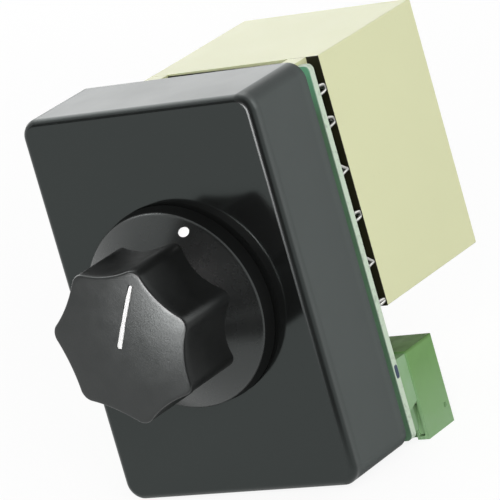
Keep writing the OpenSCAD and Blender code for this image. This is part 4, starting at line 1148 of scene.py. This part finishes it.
class ATTENUATOR_OT_stage(Operator):
    """Sets the floor, the lights, the world and the camera"""
    bl_idname = "attenuator.stage"
    bl_label = "Stage"
    eye = (0.49229, -0.63760, 0.20417)
    right = (0.8095, 0.5226, -0.2677)
    up = (0.0833, 0.3491, 0.9334)
    back = (0.5813, -0.7778, 0.2391)
    sensor = 36.0
    clip = (0.05, 20.0)
    aim = (0.0, 0.02, 0.02)
    # Each lamp: name, setting of its level, place, size, and whether gloss mirrors it
    lamps = (
        ("key", "key", (0.62, -0.70, 0.27), (0.5, 0.5), False),
        ("rear", "rear", (-0.30, 0.88, 0.06), (0.5, 0.2), False),
        ("back_panel", "panel", (-0.49, 0.56, 0.24), (0.86, 0.55), True),
        ("top_panel", "top", (-0.38, 0.28, 0.62), (0.7, 0.4), True),
        ("side_panel", "panel", (0.42, 0.50, 0.17), (0.5, 0.4), True),
    )
    # Each edge strip: lower end, upper end, and share of the strips' brightness
    strips = ((-0.034, -0.019, 0.10), (-0.019, -0.002, 0.44), (-0.002, 0.045, 1.4))
    strip_x, strip_y, strip_width = 0.006, -0.105, 0.046
    strip_tint = (1.0, 0.88, 0.91)
    low_strip = Vector((-0.022, -0.15, 0.004))
    low_strip_size = (0.036, 0.074)
    low_strip_pieces = ("knob_grip", "knob_skirt", "knob_rim")
    # Each card: lower and upper radius, start and end in degrees, lower and upper height, shade
    cards = (
        (0.115, 0.115, -84.0, -20.0, -0.035, 0.066, 0.02),
        (0.115, 0.115, -106.0, -20.0, 0.066, 0.400, 0.02),
        (0.40, 0.40, -148.0, -100.0, 0.050, 0.297, 0.30),
        (0.048, 0.100, -70.0, -12.0, -0.0351, -0.0350, 0.02),
    )
    floor_half = 3.0
    floor_gap = 0.02 * MM
    floor_glow = 1.085
    floor_share = 0.82

    def execute(self, context):
        settings = context.scene.attenuator_stage
        self.make_camera(context, settings)
        self.make_floor(settings)
        self.make_cards()
        self.make_world(context, settings)
        self.make_lights(settings)
        context.scene.view_settings.view_transform = "Standard"
        return {"FINISHED"}

    def make_camera(self, context, settings):
        """The camera at the photograph's viewing angle."""
        data = bpy.data.cameras.new("camera")
        data.sensor_width = self.sensor
        data.lens = settings.lens
        data.clip_start, data.clip_end = self.clip
        camera = bpy.data.objects.new("camera", data)
        turn = Matrix((self.right, self.up, self.back)).transposed()
        camera.matrix_world = Matrix.Translation(self.eye) @ turn.to_4x4()
        context.scene.collection.objects.link(camera)
        context.scene.camera = camera

    def make_lights(self, settings):
        """Soft lights before and behind, panels and strips for the gloss, and a strip for the knob alone."""
        for name, setting, place, size, mirrored in self.lamps:
            area_light(name, place, self.aim, size, getattr(settings, setting), mirrored)
        for number, (low, high, share) in enumerate(self.strips):
            place = Vector((self.strip_x, self.strip_y, (low + high) / 2))
            size = (self.strip_width, high - low)
            name = "edge_strip_%d" % (number + 1)
            lamp = area_light(name, place, place + Y_AXIS, size, settings.strip * share, True)
            lamp.data.color = self.strip_tint
        place = self.low_strip
        lamp = area_light("low_strip", place, place + Y_AXIS, self.low_strip_size, settings.low, True)
        lit = bpy.data.collections.new("low_strip_pieces")
        for name in self.low_strip_pieces:
            lit.objects.link(bpy.data.objects[name])
        lamp.light_linking.receiver_collection = lit

    def make_cards(self):
        """Dark cards round the front that only reflections see."""
        for number, (near, far, start, end, low, high, shade_level) in enumerate(self.cards):
            bm = bmesh.new()
            bmesh.ops.create_grid(bm, x_segments=24, y_segments=4, size=0.5)
            for vert in bm.verts:
                across, rise = vert.co.x + 0.5, vert.co.y + 0.5
                turn = math.radians(start + (end - start) * across)
                radius = near + (far - near) * rise
                vert.co = (radius * math.cos(turn), radius * math.sin(turn), low + (high - low) * rise)
            name = "dark_card_%d" % (number + 1)
            card = make_object(name, bm)
            dark = Finish(name, 1.0, specular=0.0)
            dark.give("Base Color", (shade_level, shade_level, shade_level))
            card.data.materials.append(dark.material)
            for rays in ("camera", "diffuse", "transmission", "shadow"):
                setattr(card, "visible_" + rays, False)

    def make_floor(self, settings):
        """A pale floor that is white to the camera and keeps a soft shadow."""
        bm = bmesh.new()
        bmesh.ops.create_grid(bm, x_segments=8, y_segments=8, size=self.floor_half)
        floor = make_object("floor", moved(bm, Matrix.Translation((0, 0, CAD_BOX[0].z - self.floor_gap))))
        material = bpy.data.materials.new("floor")
        material.use_nodes = True
        tree = material.node_tree
        tree.nodes.remove(tree.nodes["Principled BSDF"])
        matt = add_node(tree, "BsdfDiffuse", {"Color": settings.floor})[0]
        glow = add_node(tree, "Emission", {"Strength": self.floor_glow})[0]
        share = add_node(tree, "Math", {0: open_rays(tree), 1: self.floor_share}, operation="MULTIPLY")[0]
        blend = add_node(tree, "MixShader", {0: share, 1: matt, 2: glow})[0]
        feed(tree, tree.nodes["Material Output"].inputs["Surface"], blend)
        floor.data.materials.append(material)

    def make_world(self, context, settings):
        """A soft even studio in front of a white background."""
        world = bpy.data.worlds.new("studio")
        context.scene.world = world
        world.use_nodes = True
        tree = world.node_tree
        tree.nodes.clear()
        white = (1.0, 1.0, 1.0)
        studio, background = (
            add_node(tree, "Background", {"Color": white, "Strength": level})[0]
            for level in (settings.fill, 1.0)
        )
        blend = add_node(tree, "MixShader", {0: open_rays(tree), 1: studio, 2: background})[0]
        add_node(tree, "OutputWorld", {"Surface": blend})


class ATTENUATOR_PT_sidebar(Panel):
    """Lists the steps that dress the attenuator"""
    bl_idname = "ATTENUATOR_PT_sidebar"
    bl_label = "Attenuator"
    bl_space_type = "VIEW_3D"
    bl_region_type = "UI"
    bl_category = "Attenuator"

    def draw(self, context):
        for step in STEPS:
            self.layout.operator(step.bl_idname)


SETTINGS = {
    "attenuator_housing": HousingSettings,
    "attenuator_knob": KnobSettings,
    "attenuator_board": BoardSettings,
    "attenuator_transformer": TransformerSettings,
    "attenuator_terminals": TerminalSettings,
    "attenuator_stage": StageSettings,
}
STEPS = (
    ATTENUATOR_OT_housing,
    ATTENUATOR_OT_knob,
    ATTENUATOR_OT_board,
    ATTENUATOR_OT_transformer,
    ATTENUATOR_OT_terminals,
    ATTENUATOR_OT_switch,
    ATTENUATOR_OT_stage,
)


def register():
    """Registers the settings, the steps and the sidebar."""
    for name, group in SETTINGS.items():
        bpy.utils.register_class(group)
        setattr(bpy.types.Scene, name, PointerProperty(type=group))
    for step in STEPS:
        bpy.utils.register_class(step)
    bpy.utils.register_class(ATTENUATOR_PT_sidebar)


def unregister():
    """Removes what register added."""
    bpy.utils.unregister_class(ATTENUATOR_PT_sidebar)
    for step in reversed(STEPS):
        bpy.utils.unregister_class(step)
    for name, group in SETTINGS.items():
        delattr(bpy.types.Scene, name)
        bpy.utils.unregister_class(group)


def main():
    """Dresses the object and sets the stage."""
    register()
    bpy.ops.attenuator.housing()
    bpy.ops.attenuator.knob()
    bpy.ops.attenuator.board()
    bpy.ops.attenuator.transformer()
    bpy.ops.attenuator.terminals()
    bpy.ops.attenuator.switch()
    bpy.ops.attenuator.stage()
    bpy.context.view_layer.update()


if __name__ == "__main__":
    main()
